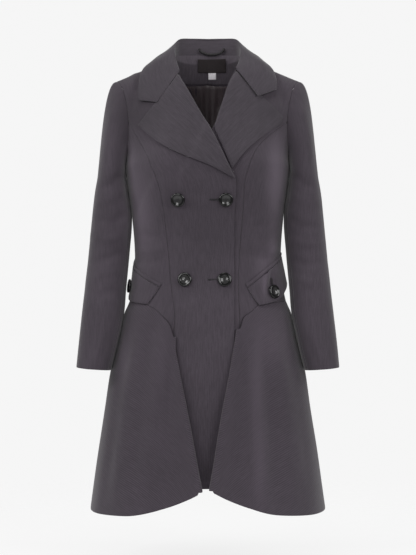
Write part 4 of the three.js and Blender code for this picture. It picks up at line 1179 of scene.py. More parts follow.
    def build(self) -> None:
        """Makes the four panels and the allowances of the side seams."""
        for side in Side:
            left = side is Side.LEFT
            name = f"skirt_front_{side.word}"
            Cloth(
                name, self.front_place(side), 110, 120, 1.8, self.wool, CUTS[name],
                turned=left, seams="first last top", free="foot", folds=self.folds_front,
                grain=68,
            ).build()
            name = f"skirt_back_{side.word}"
            Cloth(
                name, self.back_place(side), 70, 110, 1.8, self.wool, CUTS[name],
                turned=left, seams="first last top", free="foot", folds=self.folds_back,
                grain=-62,
            ).build()
            Cloth(
                f"side_allowance_{side.word}", self.allowance(side), 8, 70, 1.0, self.wool,
                CUTS["side_allowance"], turned=left, uneven=0.1, held="laid", node=name,
            ).build()


@dataclass
class Sleeves:
    """Two-piece sleeves that grow out of the armholes."""

    wool: bpy.types.Material
    # height, outer and inner x, front and back y, and how much the outer side is lifted
    rings: tuple[tuple[float, ...], ...] = (
        (-614, 272.5, 200.6, -98, 2, 3), (-559, 268, 186.4, -92, 14, 0),
        (-502, 262.6, 174.6, -84, 28, 0), (-450, 257.4, 170.8, -73, 43, 0),
        (-373, 249.6, 164, -62, 60, 0), (-302, 242.6, 159.2, -67, 59, 0),
        (-250, 237, 165.4, -68, 63, 0), (-216, 231.2, 170.3, -69, 66, 0),
    )
    roundness: float = 2 / 2.2
    seams: tuple[float, float] = (150, -125)
    # half a seam's open turn, in radians, and how far inside the armhole the cap starts
    seam_gap: float = 0.002
    hole_inset: float = 0.05
    # share of the rows in the cap; how it leaves the armhole: x at foot and top, y, z; how it arrives
    cap: float = 0.36
    leave: tuple[float, float, float, float] = (-1.7, 76, -18, -3)
    arrive: tuple[float, float] = (22, -2)
    folds_front: tuple[Fold, ...] = laid(
        (-2.4, 8, -176, -206, -196, -232, -226, -244), (2.0, 9, -170, -236, -196, -262, -232, -270),
        (-2.6, 9, -164, -286, -192, -312, -236, -306), (2.2, 9, -166, -330, -204, -348, -244, -336),
        (-2.8, 9, -166, -372, -206, -384, -246, -400), (2.2, 9, -172, -408, -214, -416, -250, -436),
        (-2.0, 9, -178, -446, -216, -462, -254, -458), (-1.8, 9, -232, -470, -238, -540, -246, -606),
        (1.6, 9, -204, -520, -222, -560, -230, -606), (1.6, 9, -190, -60, -206, -120, -212, -180),
        (-2.2, 8, 176, -210, 200, -236, 228, -240), (2.0, 9, 168, -246, 200, -270, 234, -266),
        (-2.5, 9, 164, -300, 196, -320, 238, -322), (2.1, 9, 166, -344, 206, -356, 244, -352),
        (-2.7, 9, 168, -386, 206, -400, 248, -392), (2.0, 9, 174, -424, 212, -438, 250, -432),
        (-1.8, 9, 236, -470, 242, -540, 250, -606), (1.6, 9, 206, -526, 222, -566, 232, -606),
        (1.6, 9, 190, -64, 208, -120, 214, -184),
    )
    folds_back: tuple[Fold, ...] = laid(
        (-2.2, 9, -170, -240, -200, -262, -236, -256), (2.0, 9, -168, -300, -204, -316, -240, -322),
        (-2.6, 9, -168, -352, -206, -372, -246, -364), (2.2, 9, -174, -402, -212, -418, -250, -424),
        (-1.8, 10, -206, -480, -226, -540, -240, -600), (-2.2, 9, 170, -236, 202, -258, 236, -262),
        (2.0, 9, 168, -304, 206, -322, 240, -314), (-2.5, 9, 168, -356, 208, -370, 246, -378),
        (2.2, 9, 174, -410, 214, -424, 250, -418), (-1.8, 10, 208, -484, 228, -544, 242, -600),
        back=True,
    )

    def ring(self, side: Side, alpha: Grid, z: Grid) -> Grid:
        """Points of a ring of the sleeve.

        Args:
            side: the wearer's side.
            alpha: angle from the outer side, positive to the front.
            z: height of the ring.

        Returns:
            points.
        """
        row = Curve(self.rings)(z)
        outer, inner, front, back, tilt = (row[..., column] for column in range(5))

        def bend(value: Grid) -> Grid:
            """Rounds a section."""
            return np.sign(value) * np.abs(value) ** self.roundness

        x = (outer + inner) / 2 + (outer - inner) / 2 * bend(np.cos(alpha))
        y = (front + back) / 2 - (back - front) / 2 * bend(np.sin(alpha))
        return np.stack([side.value * x, y, z + tilt * np.cos(alpha)], axis=-1)

    def armhole(self, side: Side, alpha: Grid) -> Grid:
        """Points of the armhole's edge."""
        height = (1 + np.cos(alpha)) / 2
        share = np.arcsin(np.clip(height, 0, 1)) / QUARTER
        turn = np.where(np.sin(alpha) >= 0, QUARTER - NUDGE, QUARTER + NUDGE)
        point = BODY.at(side.value * turn, np.clip(share * BODY.levels, 0.01, BODY.levels))
        point[..., 0] -= side.value * self.hole_inset
        return point

    def place(self, side: Side, start: float, end: float) -> Place:
        """Where a sleeve piece lies between two angles.

        Args:
            side: the wearer's side.
            start: first angle in degrees.
            end: last angle in degrees.

        Returns:
            the placing function.
        """
        first_z, last_z = self.rings[-1][0], self.rings[0][0]

        def point(u: Grid, v: Grid) -> Grid:
            """Points by shares round the arm and from the shoulder to the cuff."""
            alpha = mix(start * DEGREE + self.seam_gap, end * DEGREE - self.seam_gap, u)
            cap, (foot_x, top_x, lead_y, lead_z), (end_x, end_y) = self.cap, self.leave, self.arrive
            share = np.clip(v / cap, 0, 1)[..., None]
            low = self.ring(side, alpha, mix(first_z, last_z, np.clip((v - cap) / (1 - cap), 0, 1)))
            begin, stop = self.armhole(side, alpha), self.ring(side, alpha, np.full_like(u, first_z))
            top, sine = (1 + np.cos(alpha)) / 2, np.sin(alpha)
            lead_x, fall = mix(foot_x, top_x, top), stop[..., 2] - begin[..., 2]
            leave = np.stack([side.value * lead_x, lead_y * sine * top, np.full_like(top, lead_z)], -1)
            arrive = np.stack([side.value * end_x * top, end_y * sine, fall], -1)
            square, cube = share**2, share**3
            high = begin * (2 * cube - 3 * square + 1) + leave * (cube - 2 * square + share)
            high = high + stop * (3 * square - 2 * cube) + arrive * (cube - square)
            return np.where((v < cap)[..., None], high, low)

        return point

    def build(self) -> None:
        """Makes the four sleeve pieces."""
        front, back = self.seams
        spans = (("top", back, front, 90), ("under", front - 360, back, 34))
        for side in Side:
            left = side is Side.LEFT
            for word, start, end, columns in spans:
                name = f"sleeve_{word}_{side.word}"
                Cloth(
                    name, self.place(side, start, end), columns, 150, 2.0, self.wool, CUTS[name],
                    turned=not left, seams="first last", free="foot",
                    folds=self.folds_front + self.folds_back if word == "top" else (), uneven=0.4,
                ).build()


@dataclass
class Lapels:
    """The notched lapels, turned back over the fronts along their roll."""

    wool: bpy.types.Material
    fronts: Fronts
    lie: float = 4.9
    fold_lie: float = 3.2
    roll: tuple[float, float] = (3.2, 14)
    # distances from the roll over which the lapel leaves it
    near_roll: tuple[float, float] = (-1, 4)
    corner_right: tuple[float, float] = (-59.5, -6.5)
    tip_right: tuple[float, float] = (-142, -111)
    # share, x and height along the roll and along the outer edge
    fold_right: tuple[tuple[float, ...], ...] = (
        (0, -59.5, -6.5), (0.2, -42.6, -36), (0.4, -17, -82.6), (0.58, 6, -122), (1, 56.5, -220),
    )
    lower_right: tuple[tuple[float, ...], ...] = (
        (0, -142, -111), (0.12, -119, -134), (0.25, -95, -153), (0.38, -68, -168), (0.55, -34, -182),
        (0.78, 14, -201), (1, 54.5, -222.5),
    )
    corner_left: tuple[float, float] = (56, -0.5)
    tip_left: tuple[float, float] = (154, -93)
    fold_left: tuple[tuple[float, ...], ...] = ((0, 56, -0.5), (0.3, 42, -27), (1, 12.5, -118))
    lower_left: tuple[tuple[float, ...], ...] = (
        (0, 154, -93), (0.15, 147, -108), (0.45, 112, -135), (0.72, 78, -167), (1, 50, -203),
    )
    folds: tuple[Fold, ...] = laid(
        (1.5, 7, -12, -112, 10, -150, 30, -190), (-1.3, 7, -30, -96, -6, -140, 18, -186),
        (1.2, 8, 44, -60, 40, -100, 40, -150), (-0.9, 10, -120, -116, -86, -128, -40, -120),
    )

    def place(self, side: Side) -> Place:
        """Where a lapel lies, by shares down the roll and out to its edge."""
        right = side is Side.RIGHT
        fold, lower = Curve(sided(self, "fold", side)), Curve(sided(self, "lower", side))
        corner, tip = np.array(sided(self, "corner", side)), np.array(sided(self, "tip", side))

        def point(u: Grid, v: Grid) -> Grid:
            """Points by shares out from the roll and down it."""
            out, down = u[..., None], v[..., None]
            near, far = fold(v), lower(v)
            lead = mix(corner, tip, out) - mix(fold(np.array(0.0)), lower(np.array(0.0)), out)
            flat = mix(near, far, out) + (1 - down) * lead
            x, z = flat[..., 0], flat[..., 1]
            level = BODY.level_at(x, z)
            theta = BODY.angle_at(x, level)
            run = np.linalg.norm(flat - near, axis=-1)
            lie = self.lie + self.roll[0] * np.exp(-run / self.roll[1])
            lie = mix(self.fold_lie, lie, ease(run, *self.near_roll))
            return BODY.raised(theta, level, lie + (self.fronts.rise(theta, level) if right else 0.0))

        return point

    def build(self) -> None:
        """Makes both lapels."""
        for side in Side:
            name = f"lapel_{side.word}"
            Cloth(
                name, self.place(side), 56, 96, 2.6, self.wool, CUTS[name],
                turned=side is Side.LEFT, seams="top", free="last foot", folds=self.folds,
                grain=45 * side.value, flat_weave=True, seam_depth=0.8, seam_width=3.0,
                uneven=0.5, held="folded",
            ).build()


@dataclass
class Collar:
    """The collar: a stand up from the neck seam, a roll and a fall."""

    wool: bpy.types.Material
    # share from the middle of the back to the front end, with x, y and z
    seam: tuple[tuple[float, ...], ...] = (
        (0, 0, 61, 46), (0.2, 32, 57, 45), (0.4, 58, 38, 42), (0.55, 67.5, 14, 40), (0.7, 68, -14, 33),
        (0.85, 63, -38, 17), (1, 58.5, -56, 0.5),
    )
    fold: tuple[tuple[float, ...], ...] = (
        (0, 0, 72, 85), (0.2, 34, 68, 85), (0.4, 58, 50, 82), (0.55, 67, 26, 71), (0.7, 70, -2, 53),
        (0.85, 67, -32, 27), (1, 58.5, -58.5, 3),
    )
    middle: tuple[tuple[float, ...], ...] = (
        (0, 0, 88, 45), (0.2, 42, 84, 46), (0.4, 78, 64, 47), (0.55, 97, 34, 44), (0.7, 107, -4, 36),
        (0.85, 109, -38, 12), (1, 104, -84.5, -65),
    )
    edge: tuple[tuple[float, ...], ...] = (
        (0, 0, 92, 2), (0.2, 48, 88, 4), (0.4, 92, 66, 10), (0.55, 119, 36, 16), (0.7, 133, -6, 17),
        (0.85, 143, -37, -10), (1, 143.5, -69.5, -58),
    )
    left_lift: tuple[float, float, float, float] = (5, 12.5, 23.5, 8)
    fall_middle: float = 0.55
    stand_share: float = 0.3
    # shares at which the left end's lift starts, once for both sides and once for the left
    lift_starts: tuple[float, float] = (0.8, 0.6)
    # reach over which the fall bends at its middle, at the back and at the ends, and where it changes
    bend: tuple[float, float, float] = (0.2, 0.05, 0.9)
    hollow: tuple[float, float] = (1.2, 3)
    swell: float = 2
    folds: tuple[Fold, ...] = (
        Fold(((-70, 40), (-96, 20), (-112, -20)), -1.1, 9),
        Fold(((72, 42), (98, 24), (114, -12)), -1.1, 9),
        Fold(((-60, 62), (0, 74), (60, 62)), -0.8, 8, back=True),
    )

    def place(self, u: Grid, v: Grid) -> Grid:
        """Points by shares from end to end and from the neck seam over the roll to the edge."""
        around, split = 2 * u - 1, self.stand_share
        down = np.where(v < split, v / split - 1, (v - split) / (1 - split))
        share = np.abs(around)
        both, left = (ease(share, start, 1) for start in self.lift_starts)
        lift = both * np.where(around > 0, left, 0)
        seam, fold = Curve(self.seam)(share), Curve(self.fold)(share)
        middle, edge = Curve(self.middle)(share), Curve(self.edge)(share)
        for line, rise in ((seam, 0), (fold, 0), (middle, 1), (edge, 2)):
            line[..., 2] += self.left_lift[rise] * lift
        edge[..., 1] += self.left_lift[3] * lift
        fall, half = down[..., None], self.fall_middle
        flat = edge - fold
        flat[..., 2] = 0
        hollow = self.hollow[0] * np.minimum(1, np.maximum(-fall, 0) * self.hollow[1])
        stand = mix(seam, fold, np.clip(1 + fall, 0, 1)) - unit(flat) * hollow
        first, second = mix(fold, middle, fall / half), mix(middle, edge, (fall - half) / (1 - half))
        back, end, change = self.bend
        reach = mix(back, end, ease(share, change, 1))[..., None]
        soft = ease(fall, half - reach, half + reach)
        point = np.where(fall < 0, stand, mix(first, second, soft))
        swell = np.sin(math.pi * np.sqrt(np.clip(down, 0, 1))) * self.swell
        point[..., 2] += np.where((down > 0) & (down < 1), swell, 0)
        point[..., 0] *= np.where(around < 0, -1, 1)
        return point

    def build(self) -> None:
        """Makes the collar."""
        Cloth(
            "collar", self.place, 190, 60, 2.6, self.wool, CUTS["collar"],
            free="first last foot", folds=self.folds, grain=90,
            seam_depth=1.0, seam_width=3.0, uneven=0.4, held="folded",
        ).build()


@dataclass
class Pockets:
    """A slanted flap with a welt above it on each hip."""

    wool: bpy.types.Material
    lie: float = 3.2
    # share of its lift that a flap has at its first end
    first_lift: float = 0.35
    welt_lie: float = 2.7
    welt_gap: float = 0.8
    welt_height: float = 7
    welt_slant: float = 1.5
    # share, turn in degrees and height along the top and the lower edge
    top_right: tuple[tuple[float, ...], ...] = ((0, 35.5, -446), (0.45, 62, -421), (1, 99, -394))
    lower_right: tuple[tuple[float, ...], ...] = (
        (0, 45, -481), (0.3, 62, -478), (0.7, 86, -470), (1, 103, -452),
    )
    top_left: tuple[tuple[float, ...], ...] = ((0, 27.5, -447), (0.45, 50, -413), (1, 84, -380))
    lower_left: tuple[tuple[float, ...], ...] = (
        (0, 35.5, -483), (0.35, 46, -479), (0.65, 60, -470), (0.85, 74, -454), (1, 86, -441),
    )
    lift: dict[Side, float] = field(default_factory=lambda: {Side.RIGHT: 2.5, Side.LEFT: 7.0})
    folds: tuple[Fold, ...] = laid(
        (4.2, 6, 130, -400, 124, -414, 116, -444, 112, -474),
        (-2.6, 3.5, 128, -416, 130, -432, 129, -448), (1.4, 7, 148, -396, 140, -424, 138, -446),
        (1.4, 9, -108, -424, -120, -450, -126, -478),
    )

    def rise(self, side: Side, down: Grid, share: Grid) -> Grid:
        """How far a flap stands off the coat."""
        return self.lie + self.lift[side] * down * mix(self.first_lift, 1.0, share)

    def point(self, side: Side, down: Grid, share: Grid, rise: Grid) -> Grid:
        """Points on a flap, raised off the coat."""
        top, low = Curve(sided(self, "top", side))(share), Curve(sided(self, "lower", side))(share)
        spot = mix(top, low, np.asarray(down)[..., None])
        return BODY.raised(side.value * spot[..., 0] * DEGREE, spot[..., 1] - BODY.armpit_z, rise)

    def build(self) -> None:
        """Makes the flaps and welts."""
        for side in Side:
            name = f"pocket_flap_{side.word}"

            def flap(u: Grid, v: Grid, side: Side = side) -> Grid:
                """Points of the flap by shares along it and down it."""
                return self.point(side, v, u, self.rise(side, v, u))

            def welt(u: Grid, v: Grid, side: Side = side) -> Grid:
                """Points of the welt by shares along it and up it."""
                turn = Curve(sided(self, "top", side))(u)[..., 0] - self.welt_slant * v
                base = self.point(side, np.zeros_like(u), u, np.full_like(u, self.welt_lie))
                level = base[..., 2] - BODY.armpit_z + self.welt_gap + v * self.welt_height
                return BODY.raised(side.value * turn * DEGREE, level, self.welt_lie)

            left = side is Side.LEFT
            Cloth(
                name, flap, 90, 36, 2.6, self.wool, CUTS[name], turned=left,
                free="first last foot", folds=self.folds, grain=-12 * side.value,
                seam_depth=1.3, seam_width=2.6, uneven=0.4, held="laid",
            ).build()
            name = f"pocket_welt_{side.word}"
            Cloth(
                name, welt, 90, 8, 1.8, self.wool, CUTS[name], turned=not left,
                seams="foot", free="top", grain=90, seam_depth=0.8, seam_width=1.8,
                uneven=0.2, held="laid",
            ).build()


@dataclass
class InsideNeck:
    """Neck facing, satin lining with its centre pleat, label, tag and hanging loop."""

    wool: bpy.types.Material
    satin: bpy.types.Material
    label: bpy.types.Material
    tag: bpy.types.Material
    bodice: Bodice
    facing_rise: float = -3.8
    lining_rise: float = -3.9
    lining_ease: float = 2.2
    facing_low_z: float = -10
    facing_reach: float = 82
    facing_widen: float = 1.28
    facing_drop: float = 1
    facing_least: float = 4
    # share of the rows behind the stand at the ends and at the middle, and where it fades
    stand_rows: tuple[float, float] = (0.005, 0.3)
    stand_fade: tuple[float, float] = (0.8, 0.98)
    seam_fade: tuple[float, float] = (0.86, 0.98)
    lining_power: float = 0.47
    lining_gap: float = 1.5
    lining_foot_z: float = -868
    # shares of a quarter turn that the lining covers above the armpit and below it
    lining_turn: tuple[float, float] = (0.86, 0.93)
    lining_fade: float = 0.1
    patch_gap: float = 1.8
    # middle of the loop, half its length and its height at the ends and at the middle
    loop_middle: tuple[float, float] = (8.5, 55)
    loop_half: float = 26
    loop_z: tuple[float, float] = (61.5, 48.5)
    loop_turn: float = 1.2
    loop_hang: float = 4
    # radius of the cord, and the depth and number of its twists
    cord: tuple[float, float, float] = (2.7, 0.16, 40)
    # share from the middle to the side, with the place where the stand is sewn on
    stand_seam: tuple[tuple[float, ...], ...] = (
        (0, 0, 56.4, 47.6), (0.2, 20, 54.8, 47.2), (0.4, 39, 47.6, 46.2), (0.6, 54, 35.6, 44.5),
        (0.75, 61.5, 23, 43), (0.9, 65, 12, 41.5), (1, 66, 8, 41),
    )
    pleat: tuple[Fold, ...] = (
        Fold(((8, -4), (8, -60), (8, -240)), 3.6, 5, back=True, steep=2.2),
        *laid(
            (-3.0, 3.5, -40, -8, -36, -34, -30, -90), (-2.2, 3, -27, -8, -25, -30, -22, -70),
            (2.0, 3, -14, -8, -13, -40, -9, -110), (-2.4, 3, 22, -8, 23, -36, 19, -84),
            (-3.0, 3.5, 34, -8, 35, -30, 30, -80),
            back=True,
        ),
    )

    def foot(self, column: Grid, power: float) -> Grid:
        """The level at which the facing ends and the lining starts."""
        across = np.minimum(1, np.abs(column) / power) * self.facing_reach
        return BODY.level_at(across, self.facing_low_z)

    def facing(self, u: Grid, v: Grid) -> Grid:
        """Points of the facing."""
        column = 2 * u - 1
        rise = mix(*self.stand_rows, 1 - ease(np.abs(column), *self.stand_fade))
        share = column * self.bodice.neck_share() * self.facing_widen
        top = np.minimum(self.bodice.back_neck(share) - self.facing_drop, BODY.levels)
        low = np.clip((v - rise) / (1 - rise), 0, 1)
        level = mix(top, np.minimum(self.foot(column, 1.0), top - self.facing_least), low)
        theta = np.where(share < 0, -1, 1) * (HALF_TURN - np.abs(share) * QUARTER)
        point = BODY.raised(theta, level, self.facing_rise)
        seam = Curve(self.stand_seam)(np.abs(column))
        seam[..., 0] *= np.where(column < 0, -1, 1)
        reach = np.clip(1 - v / rise, 0, 1) * (1 - ease(np.abs(column), *self.seam_fade))
        return mix(point, seam, reach[..., None])

    def lining(self, u: Grid, v: Grid) -> Grid:
        """Points of the lining."""
        column = 2 * u - 1
        top = self.foot(column, self.lining_power) - self.lining_gap
        level = mix(top, self.lining_foot_z - BODY.armpit_z, v)
        turn = np.abs(column) * QUARTER * np.where(level > 0, *self.lining_turn)
        rise = self.lining_rise - self.lining_ease * ease(v, 0, self.lining_fade)
        return BODY.raised(np.where(column < 0, -1, 1) * (HALF_TURN - turn), level, rise)

    def patch(self, x: float, z: float, width: float, height: float) -> Place:
        """Where a small flat piece lies on the facing."""

        def place(u: Grid, v: Grid) -> Grid:
            """Points by shares across and down."""
            across, up = x + (u - 0.5) * width, z + (0.5 - v) * height
            level = BODY.level_at(across, up)
            rise = self.facing_rise - self.patch_gap
            return BODY.raised(BODY.angle_at(across, level, True), level, rise)

        return place

    def loop(self, trim: bpy.types.Material) -> None:
        """Makes the hanging loop, a twisted cord sewn on at both ends."""
        shape = bmesh.new()
        stops, sides, rings = 96, 10, []
        (x, y), half, (high, low) = self.loop_middle, self.loop_half, self.loop_z
        radius, depth, twists = self.cord
        for stop in range(stops + 1):
            share = stop / stops * 2 - 1
            across, sag = math.sin(share * QUARTER), math.cos(share * QUARTER)
            hang = y - self.loop_turn * share - self.loop_hang * sag
            centre = Vector((x + across * half, hang, mix(high, low, sag)))
            way = (half * sag + 1, self.loop_hang * across - 1, (high - low) * across)
            along = Vector(way).normalized()
            out = along.cross(Vector((0, 1, 0))).normalized()
            up = along.cross(out)
            ring = []
            for corner in range(sides):
                angle = corner / sides * 2 * math.pi
                reach = radius * (1 + depth * math.cos(2 * angle - share * twists))
                spoke = out * math.cos(angle) + up * math.sin(angle)
                ring.append(shape.verts.new((centre + spoke * reach) * MM))
            rings.append(ring)
        skin(shape, rings)
        shape.faces.new(rings[0])
        shape.faces.new(rings[-1])
        bmesh.ops.recalc_face_normals(shape, faces=shape.faces[:])
        shape.loops.layers.uv.new("cloth")
        carry(finish_mesh("hanging_loop_cord", shape, trim), "hanging_loop")

    def build(self, trim: bpy.types.Material) -> None:
        """Makes every piece inside the neck."""
        Cloth(
            "neck_facing", self.facing, 80, 30, 1.2, self.wool, CUTS["neck_facing"], turned=True,
            seams="foot", uneven=0.2, seam_depth=0.4, held="laid",
        ).build()
        Cloth(
            "back_lining", self.lining, 120, 160, 1.0, self.satin, CUTS["back_lining"], turned=True,
            slot=Slot.SATIN, folds=self.pleat, uneven=0.5,
        ).build()
        Cloth(
            "neck_label", self.patch(8.6, 27.4, 63, 28), 32, 16, 0.8, self.label,
            CUTS["neck_label"], turned=True, slot=Slot.BLACK_TRIM,
            seams="first last top foot", seam_depth=0.25,
            seam_width=1.5, uneven=0.2, held="laid",
        ).build()
        Cloth(
            "size_tag", self.patch(10.2, 6.2, 17, 13.6), 16, 12, 0.8, self.tag, CUTS["size_tag"],
            turned=True, slot=Slot.WHITE_TRIM, seams="first last top foot", seam_depth=0.2,
            seam_width=1.2, uneven=0.1, held="laid",
        ).build()
        self.loop(trim)


@dataclass
class Buttons:
    """Glossy dished buttons with four holes, sewn on with crossed thread."""

    gloss: bpy.types.Material
    polish: bpy.types.Material
    thread: bpy.types.Material
    fronts: Fronts
    pockets: Pockets
    # radius against height
    profile: tuple[tuple[float, float], ...] = (
        (0.01, 0), (11.4, 0), (13.7, 0.7), (14.5, 1.9), (14.4, 3.2), (13.6, 4.4), (12.4, 4.95),
        (11.2, 4.85), (10.0, 4.5), (8.8, 4.0), (7.6, 3.5), (6.2, 3.05), (4.6, 2.7), (3.0, 2.5),
        (1.4, 2.42), (0.01, 2.4),
    )
    front_spots: tuple[tuple[str, float, float], ...] = (
        ("button_upper_outer", -60.6, -265.7),
        ("button_upper_edge", 37, -265.7),
        ("button_lower_outer", -46.4, -430),
        ("button_lower_edge", 33.7, -430),
    )
    flap_spots: tuple[tuple[str, Side, float, float], ...] = (
        ("flap_button_right", Side.RIGHT, 0.68, 0.56),
        ("flap_button_left", Side.LEFT, 0.5, 0.7),
    )
    # radius of the polished dish, above the button's back
    dish: float = 8.2
    back: float = 0.5
    bed: float = 2.35
    hole_reach: float = 2.2
    hole_radius: float = 0.75
    hole_depth: float = 0.5
    # half length, width and height of a stitch, and how high the first lies
    stitch: tuple[float, float, float] = (2.9, 0.45, 0.3)
    stitch_lift: float = 0.3
    stitch_step: float = 0.15
    # gap under the buttons of the front and of the flaps
    sew_gap: tuple[float, float] = (0.8, 1.6)
    # where the buttonholes end, from a front button in mm and from a flap's in shares
    slit: tuple[float, float] = (-32.0, 8.0)
    flap_slit: tuple[float, float] = (0.42, 0.06)
    flap_out: tuple[float, float, float] = (0.62, -0.78, 0.0)
    slit_lift: float = 0.1
    # half width of a worked hole, how square its ends are, half width of its edge, its rise and height
    worked: tuple[float, float, float, float, float] = (1.1, 1.6, 0.75, 0.5, 0.55)

    def button(self, name: str, foot: Grid, top: Grid) -> None:
        """Makes one button.

        Args:
            name: the node it stands for.
            foot: where its back rests.
            top: a point straight above it.
        """
        shape = bmesh.new()
        verts = [shape.verts.new((radius, 0, height)) for radius, height in self.profile]
        edges = [shape.edges.new(pair) for pair in zip(verts, verts[1:])]
        bmesh.ops.spin(
            shape, geom=verts + edges, cent=(0, 0, 0), axis=(0, 0, 1), dvec=(0, 0, 0),
            angle=2 * math.pi, steps=56, use_merge=True, use_duplicate=False,
        )
        bmesh.ops.remove_doubles(shape, verts=shape.verts[:], dist=0.03)
        bmesh.ops.recalc_face_normals(shape, faces=shape.faces[:])
        for face in shape.faces:
            face.smooth = True
            middle = face.calc_center_median()
            if math.hypot(middle.x, middle.y) < self.dish and middle.z > self.back:
                face.material_index = 2
        spots = [(sx * self.hole_reach, sy * self.hole_reach) for sx in (-1, 1) for sy in (-1, 1)]
        for x, y in spots:
            made = bmesh.ops.create_cone(
                shape, cap_ends=True, segments=14, radius1=self.hole_radius, radius2=self.hole_radius,
                depth=self.hole_depth, matrix=Matrix.Translation((x, y, self.bed)),
            )
            paint(made, 1, False)
        for way in (1, -1):
            place = Matrix.Rotation(way * HALF_TURN / 4, 4, "Z") @ Matrix.Diagonal((*self.stitch, 1))
            height = self.bed + self.stitch_lift + way * self.stitch_step
            made = bmesh.ops.create_uvsphere(
                shape, u_segments=16, v_segments=8, radius=1,
                matrix=Matrix.Translation((0, 0, height)) @ place,
            )
            paint(made, 1, True)
        shape.loops.layers.uv.new("cloth")
        out = Vector(top - foot).normalized()
        turned = out.to_track_quat("Z", "Y").to_matrix().to_4x4()
        place = Matrix.Scale(MM, 4) @ Matrix.Translation(Vector(foot)) @ turned
        bmesh.ops.transform(shape, matrix=place, verts=shape.verts[:])
        piece = finish_mesh(name + "_turned", shape, self.gloss, self.thread, self.polish)
        carry(piece, name)

    def worked_hole(self, name: str, points: Grid, out: Vector) -> None:
        """Makes a worked buttonhole: a thin raised ring of stitches round a slit.

        Args:
            name: name of the piece.
            points: the two ends of the slit.
            out: direction away from the cloth.
        """
        start, end = Vector(points[0]), Vector(points[1])
        way, rounds = (end - start).normalized(), 40
        cross, half = out.cross(way), (end - start).length / 2
        wide, square, thick, rise, tall = self.worked
        shape = bmesh.new()
        rings = []
        for stop in range(rounds):
            angle = stop / rounds * 2 * math.pi
            reach = half * max(-1.0, min(1.0, square * math.cos(angle)))
            centre = (start + end) / 2 + way * (reach + wide * math.cos(angle))
            centre += cross * wide * math.sin(angle)
            side = (way * math.cos(angle) + cross * math.sin(angle)).normalized()
            ring = []
            for corner in range(8):
                turn = corner * math.pi / 4
                spoke = side * thick * math.cos(turn) + out * (rise + tall * math.sin(turn))
                ring.append(shape.verts.new((centre + spoke) * MM))
            rings.append(ring)
        skin(shape, rings + rings[:1])
        bmesh.ops.recalc_face_normals(shape, faces=shape.faces[:])
        shape.loops.layers.uv.new("cloth")
        carry(finish_mesh(name, shape, self.thread))

    def build(self) -> None:
        """Makes the six buttons and the worked buttonholes."""
        front_gap, flap_gap = self.sew_gap
        for name, x, z in self.front_spots:
            level = BODY.level_at(x, z)
            theta = BODY.angle_at(x, level)
            stand = self.fronts.lap + front_gap
            self.button(name, BODY.raised(theta, level, stand), BODY.raised(theta, level, stand + 10))
        for name, side, share, down in self.flap_spots:
            rise = self.pockets.rise(side, down, share) + flap_gap
            low = self.pockets.point(side, np.array(down), np.array(share), np.array(rise))
            high = self.pockets.point(side, np.array(down), np.array(share), np.array(rise + 10))
            self.button(name, low, high)
        for name, x, z in self.front_spots[1::2]:
            ends = []
            for reach in self.slit:
                level = BODY.level_at(x + reach, z)
                theta = BODY.angle_at(x + reach, level)
                ends.append(BODY.raised(theta, level, self.fronts.lap + self.slit_lift))
            out = Vector((0.0, -1.0, 0.0))
            self.worked_hole(name.replace("button", "buttonhole"), np.array(ends), out)
        name, side, share, down = self.flap_spots[1]
        ends = []
        for lower in (down - self.flap_slit[0], down + self.flap_slit[1]):
            rise = self.pockets.rise(side, lower, share) + self.slit_lift
            ends.append(self.pockets.point(side, np.array(lower), np.array(share), np.array(rise)))
        self.worked_hole("flap_buttonhole_left", np.array(ends), Vector(self.flap_out))


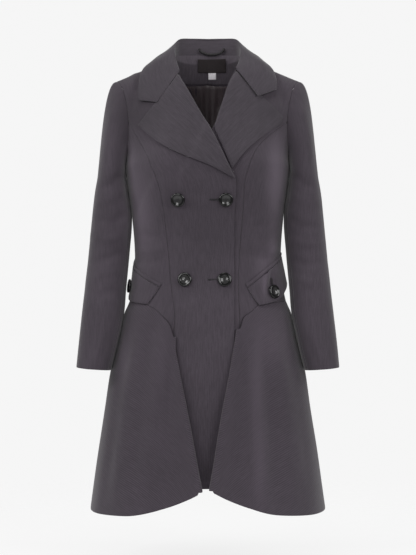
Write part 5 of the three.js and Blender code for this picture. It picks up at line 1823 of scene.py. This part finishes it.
@dataclass
class Studio:
    """Pale floor, soft lights and the camera at the photograph's angle."""

    camera_place: tuple[float, float, float] = (0.0004, -4.0, -0.42525)
    lens: float = 123.55
    sensor: float = 36
    # how bright the backdrop shows, and how much of its light falls on the coat
    pale: float = 0.92
    ambient: float = 0.24
    floor_z: float = -1.02
    floor_radius: float = 2.2
    floor_glow: float = 0.79
    # distances between which the floor fades out
    floor_fade: tuple[float, float] = (2.0, 1.1)
    # name, place, target, size, energy
    lights: tuple[tuple[str, tuple[float, ...], tuple[float, ...], float, float], ...] = (
        ("key", (-2.1, -2.2, 1.6), (0, 0, -0.35), 1.3, 38),
        ("window", (-0.7, -4.4, 0.35), (0, 0, -0.4), 1.5, 34),
        ("fill", (2.0, -2.5, 0.6), (0, 0, -0.45), 1.6, 38),
        ("top", (0.0, -0.9, 2.3), (0, 0, -0.2), 1.2, 18),
        ("side_left", (2.3, -0.7, 0.5), (0, 0, -0.25), 0.9, 14),
        ("side_right", (-2.3, -0.7, 0.5), (0, 0, -0.25), 0.9, 20),
        ("back", (0.4, 3.0, 1.4), (0, 0, -0.4), 1.8, 34),
    )

    def build(self) -> None:
        """Makes the camera, lights, backdrop and floor."""
        scene = bpy.context.scene
        scene.view_settings.view_transform = "Standard"
        camera = bpy.data.objects.new("camera", bpy.data.cameras.new("camera"))
        camera.data.lens, camera.data.sensor_width = self.lens, self.sensor
        camera.location = self.camera_place
        camera.rotation_euler = (math.pi / 2, 0, 0)
        scene.collection.objects.link(camera)
        scene.camera = camera
        for name, place, target, size, energy in self.lights:
            lamp = bpy.data.lights.new(name, "AREA")
            lamp.size, lamp.energy = size, energy
            holder = bpy.data.objects.new(name, lamp)
            holder.location = place
            holder.rotation_euler = (Vector(target) - Vector(place)).to_track_quat("-Z", "Y").to_euler()
            scene.collection.objects.link(holder)
        world = scene.world or bpy.data.worlds.new("studio")
        scene.world = world
        world.use_nodes = True
        tree = world.node_tree
        tree.nodes.clear()
        ray = node(tree, "ShaderNodeLightPath", {}, {}, "Is Camera Ray")
        strength = ray * (self.pale - self.ambient) + self.ambient
        shown = node(tree, "ShaderNodeBackground", {}, {"Color": (1, 1, 1, 1), "Strength": strength})
        tree.links.new(shown.socket, tree.nodes.new("ShaderNodeOutputWorld").inputs["Surface"])
        shape = bmesh.new()
        low = Matrix.Translation((0, 0, self.floor_z))
        bmesh.ops.create_circle(
            shape, cap_ends=True, segments=64, radius=self.floor_radius, matrix=low
        )
        material = blank("pale_floor")
        floor_tree = material.node_tree
        spot = object_map(floor_tree)
        reach = node(floor_tree, "ShaderNodeVectorMath", {"operation": "LENGTH"}, {0: spot}, "Value")
        values = {"Base Color": (0.14, 0.14, 0.14, 1.0), "Roughness": 0.8, "Specular IOR Level": 0.1}
        values |= {"Emission Color": (1.0, 1.0, 1.0, 1.0), "Emission Strength": self.floor_glow}
        finished(material, values | {"Alpha": reach.step(*self.floor_fade)})
        floor = finish_mesh("floor", shape, material)


def main() -> None:
    """Builds the coat and the studio in order."""
    logging.basicConfig(level=logging.INFO, format="%(name)s: %(message)s")
    wool = WoolFinish().build()
    skirt_wool = WoolFinish(name="wool_skirt", colour=(56, 50, 57), rib=0.0042, rib_tone=0.38).build()
    collar_wool = WoolFinish(name="wool_collar", colour=(57, 52, 58), nap=0.45).build()
    # the facing is the coat's own wool, painted lighter than its colour to lift the shade inside the
    # neck
    lightened_facing_wool = WoolFinish(name="wool_facing", colour=(74, 68, 75)).build()
    satin = SatinFinish(colour=(66, 57, 60)).build()
    label = TapeFinish("label_tape", (46, 39, 41)).build()
    tag = TapeFinish("tag_tape", (255, 250, 255)).build()
    braid = TapeFinish("loop_braid", (30, 27, 29)).build()
    gloss = GlossFinish().build()
    polish = GlossFinish("button_dish", 0.05, 0.13, 0.6).build()
    thread = TapeFinish("thread", (26, 24, 27), 0.0006).build()
    fronts = Fronts(wool)
    bodice = Bodice(wool, fronts)
    pockets = Pockets(wool)
    fronts.build()
    bodice.build()
    Skirt(skirt_wool, bodice).build()
    Sleeves(wool).build()
    Lapels(collar_wool, fronts).build()
    Collar(collar_wool).build()
    pockets.build()
    InsideNeck(lightened_facing_wool, satin, label, tag, bodice).build(braid)
    Buttons(gloss, polish, thread, fronts, pockets).build()
    Studio().build()


if __name__ == "__main__":
    main()
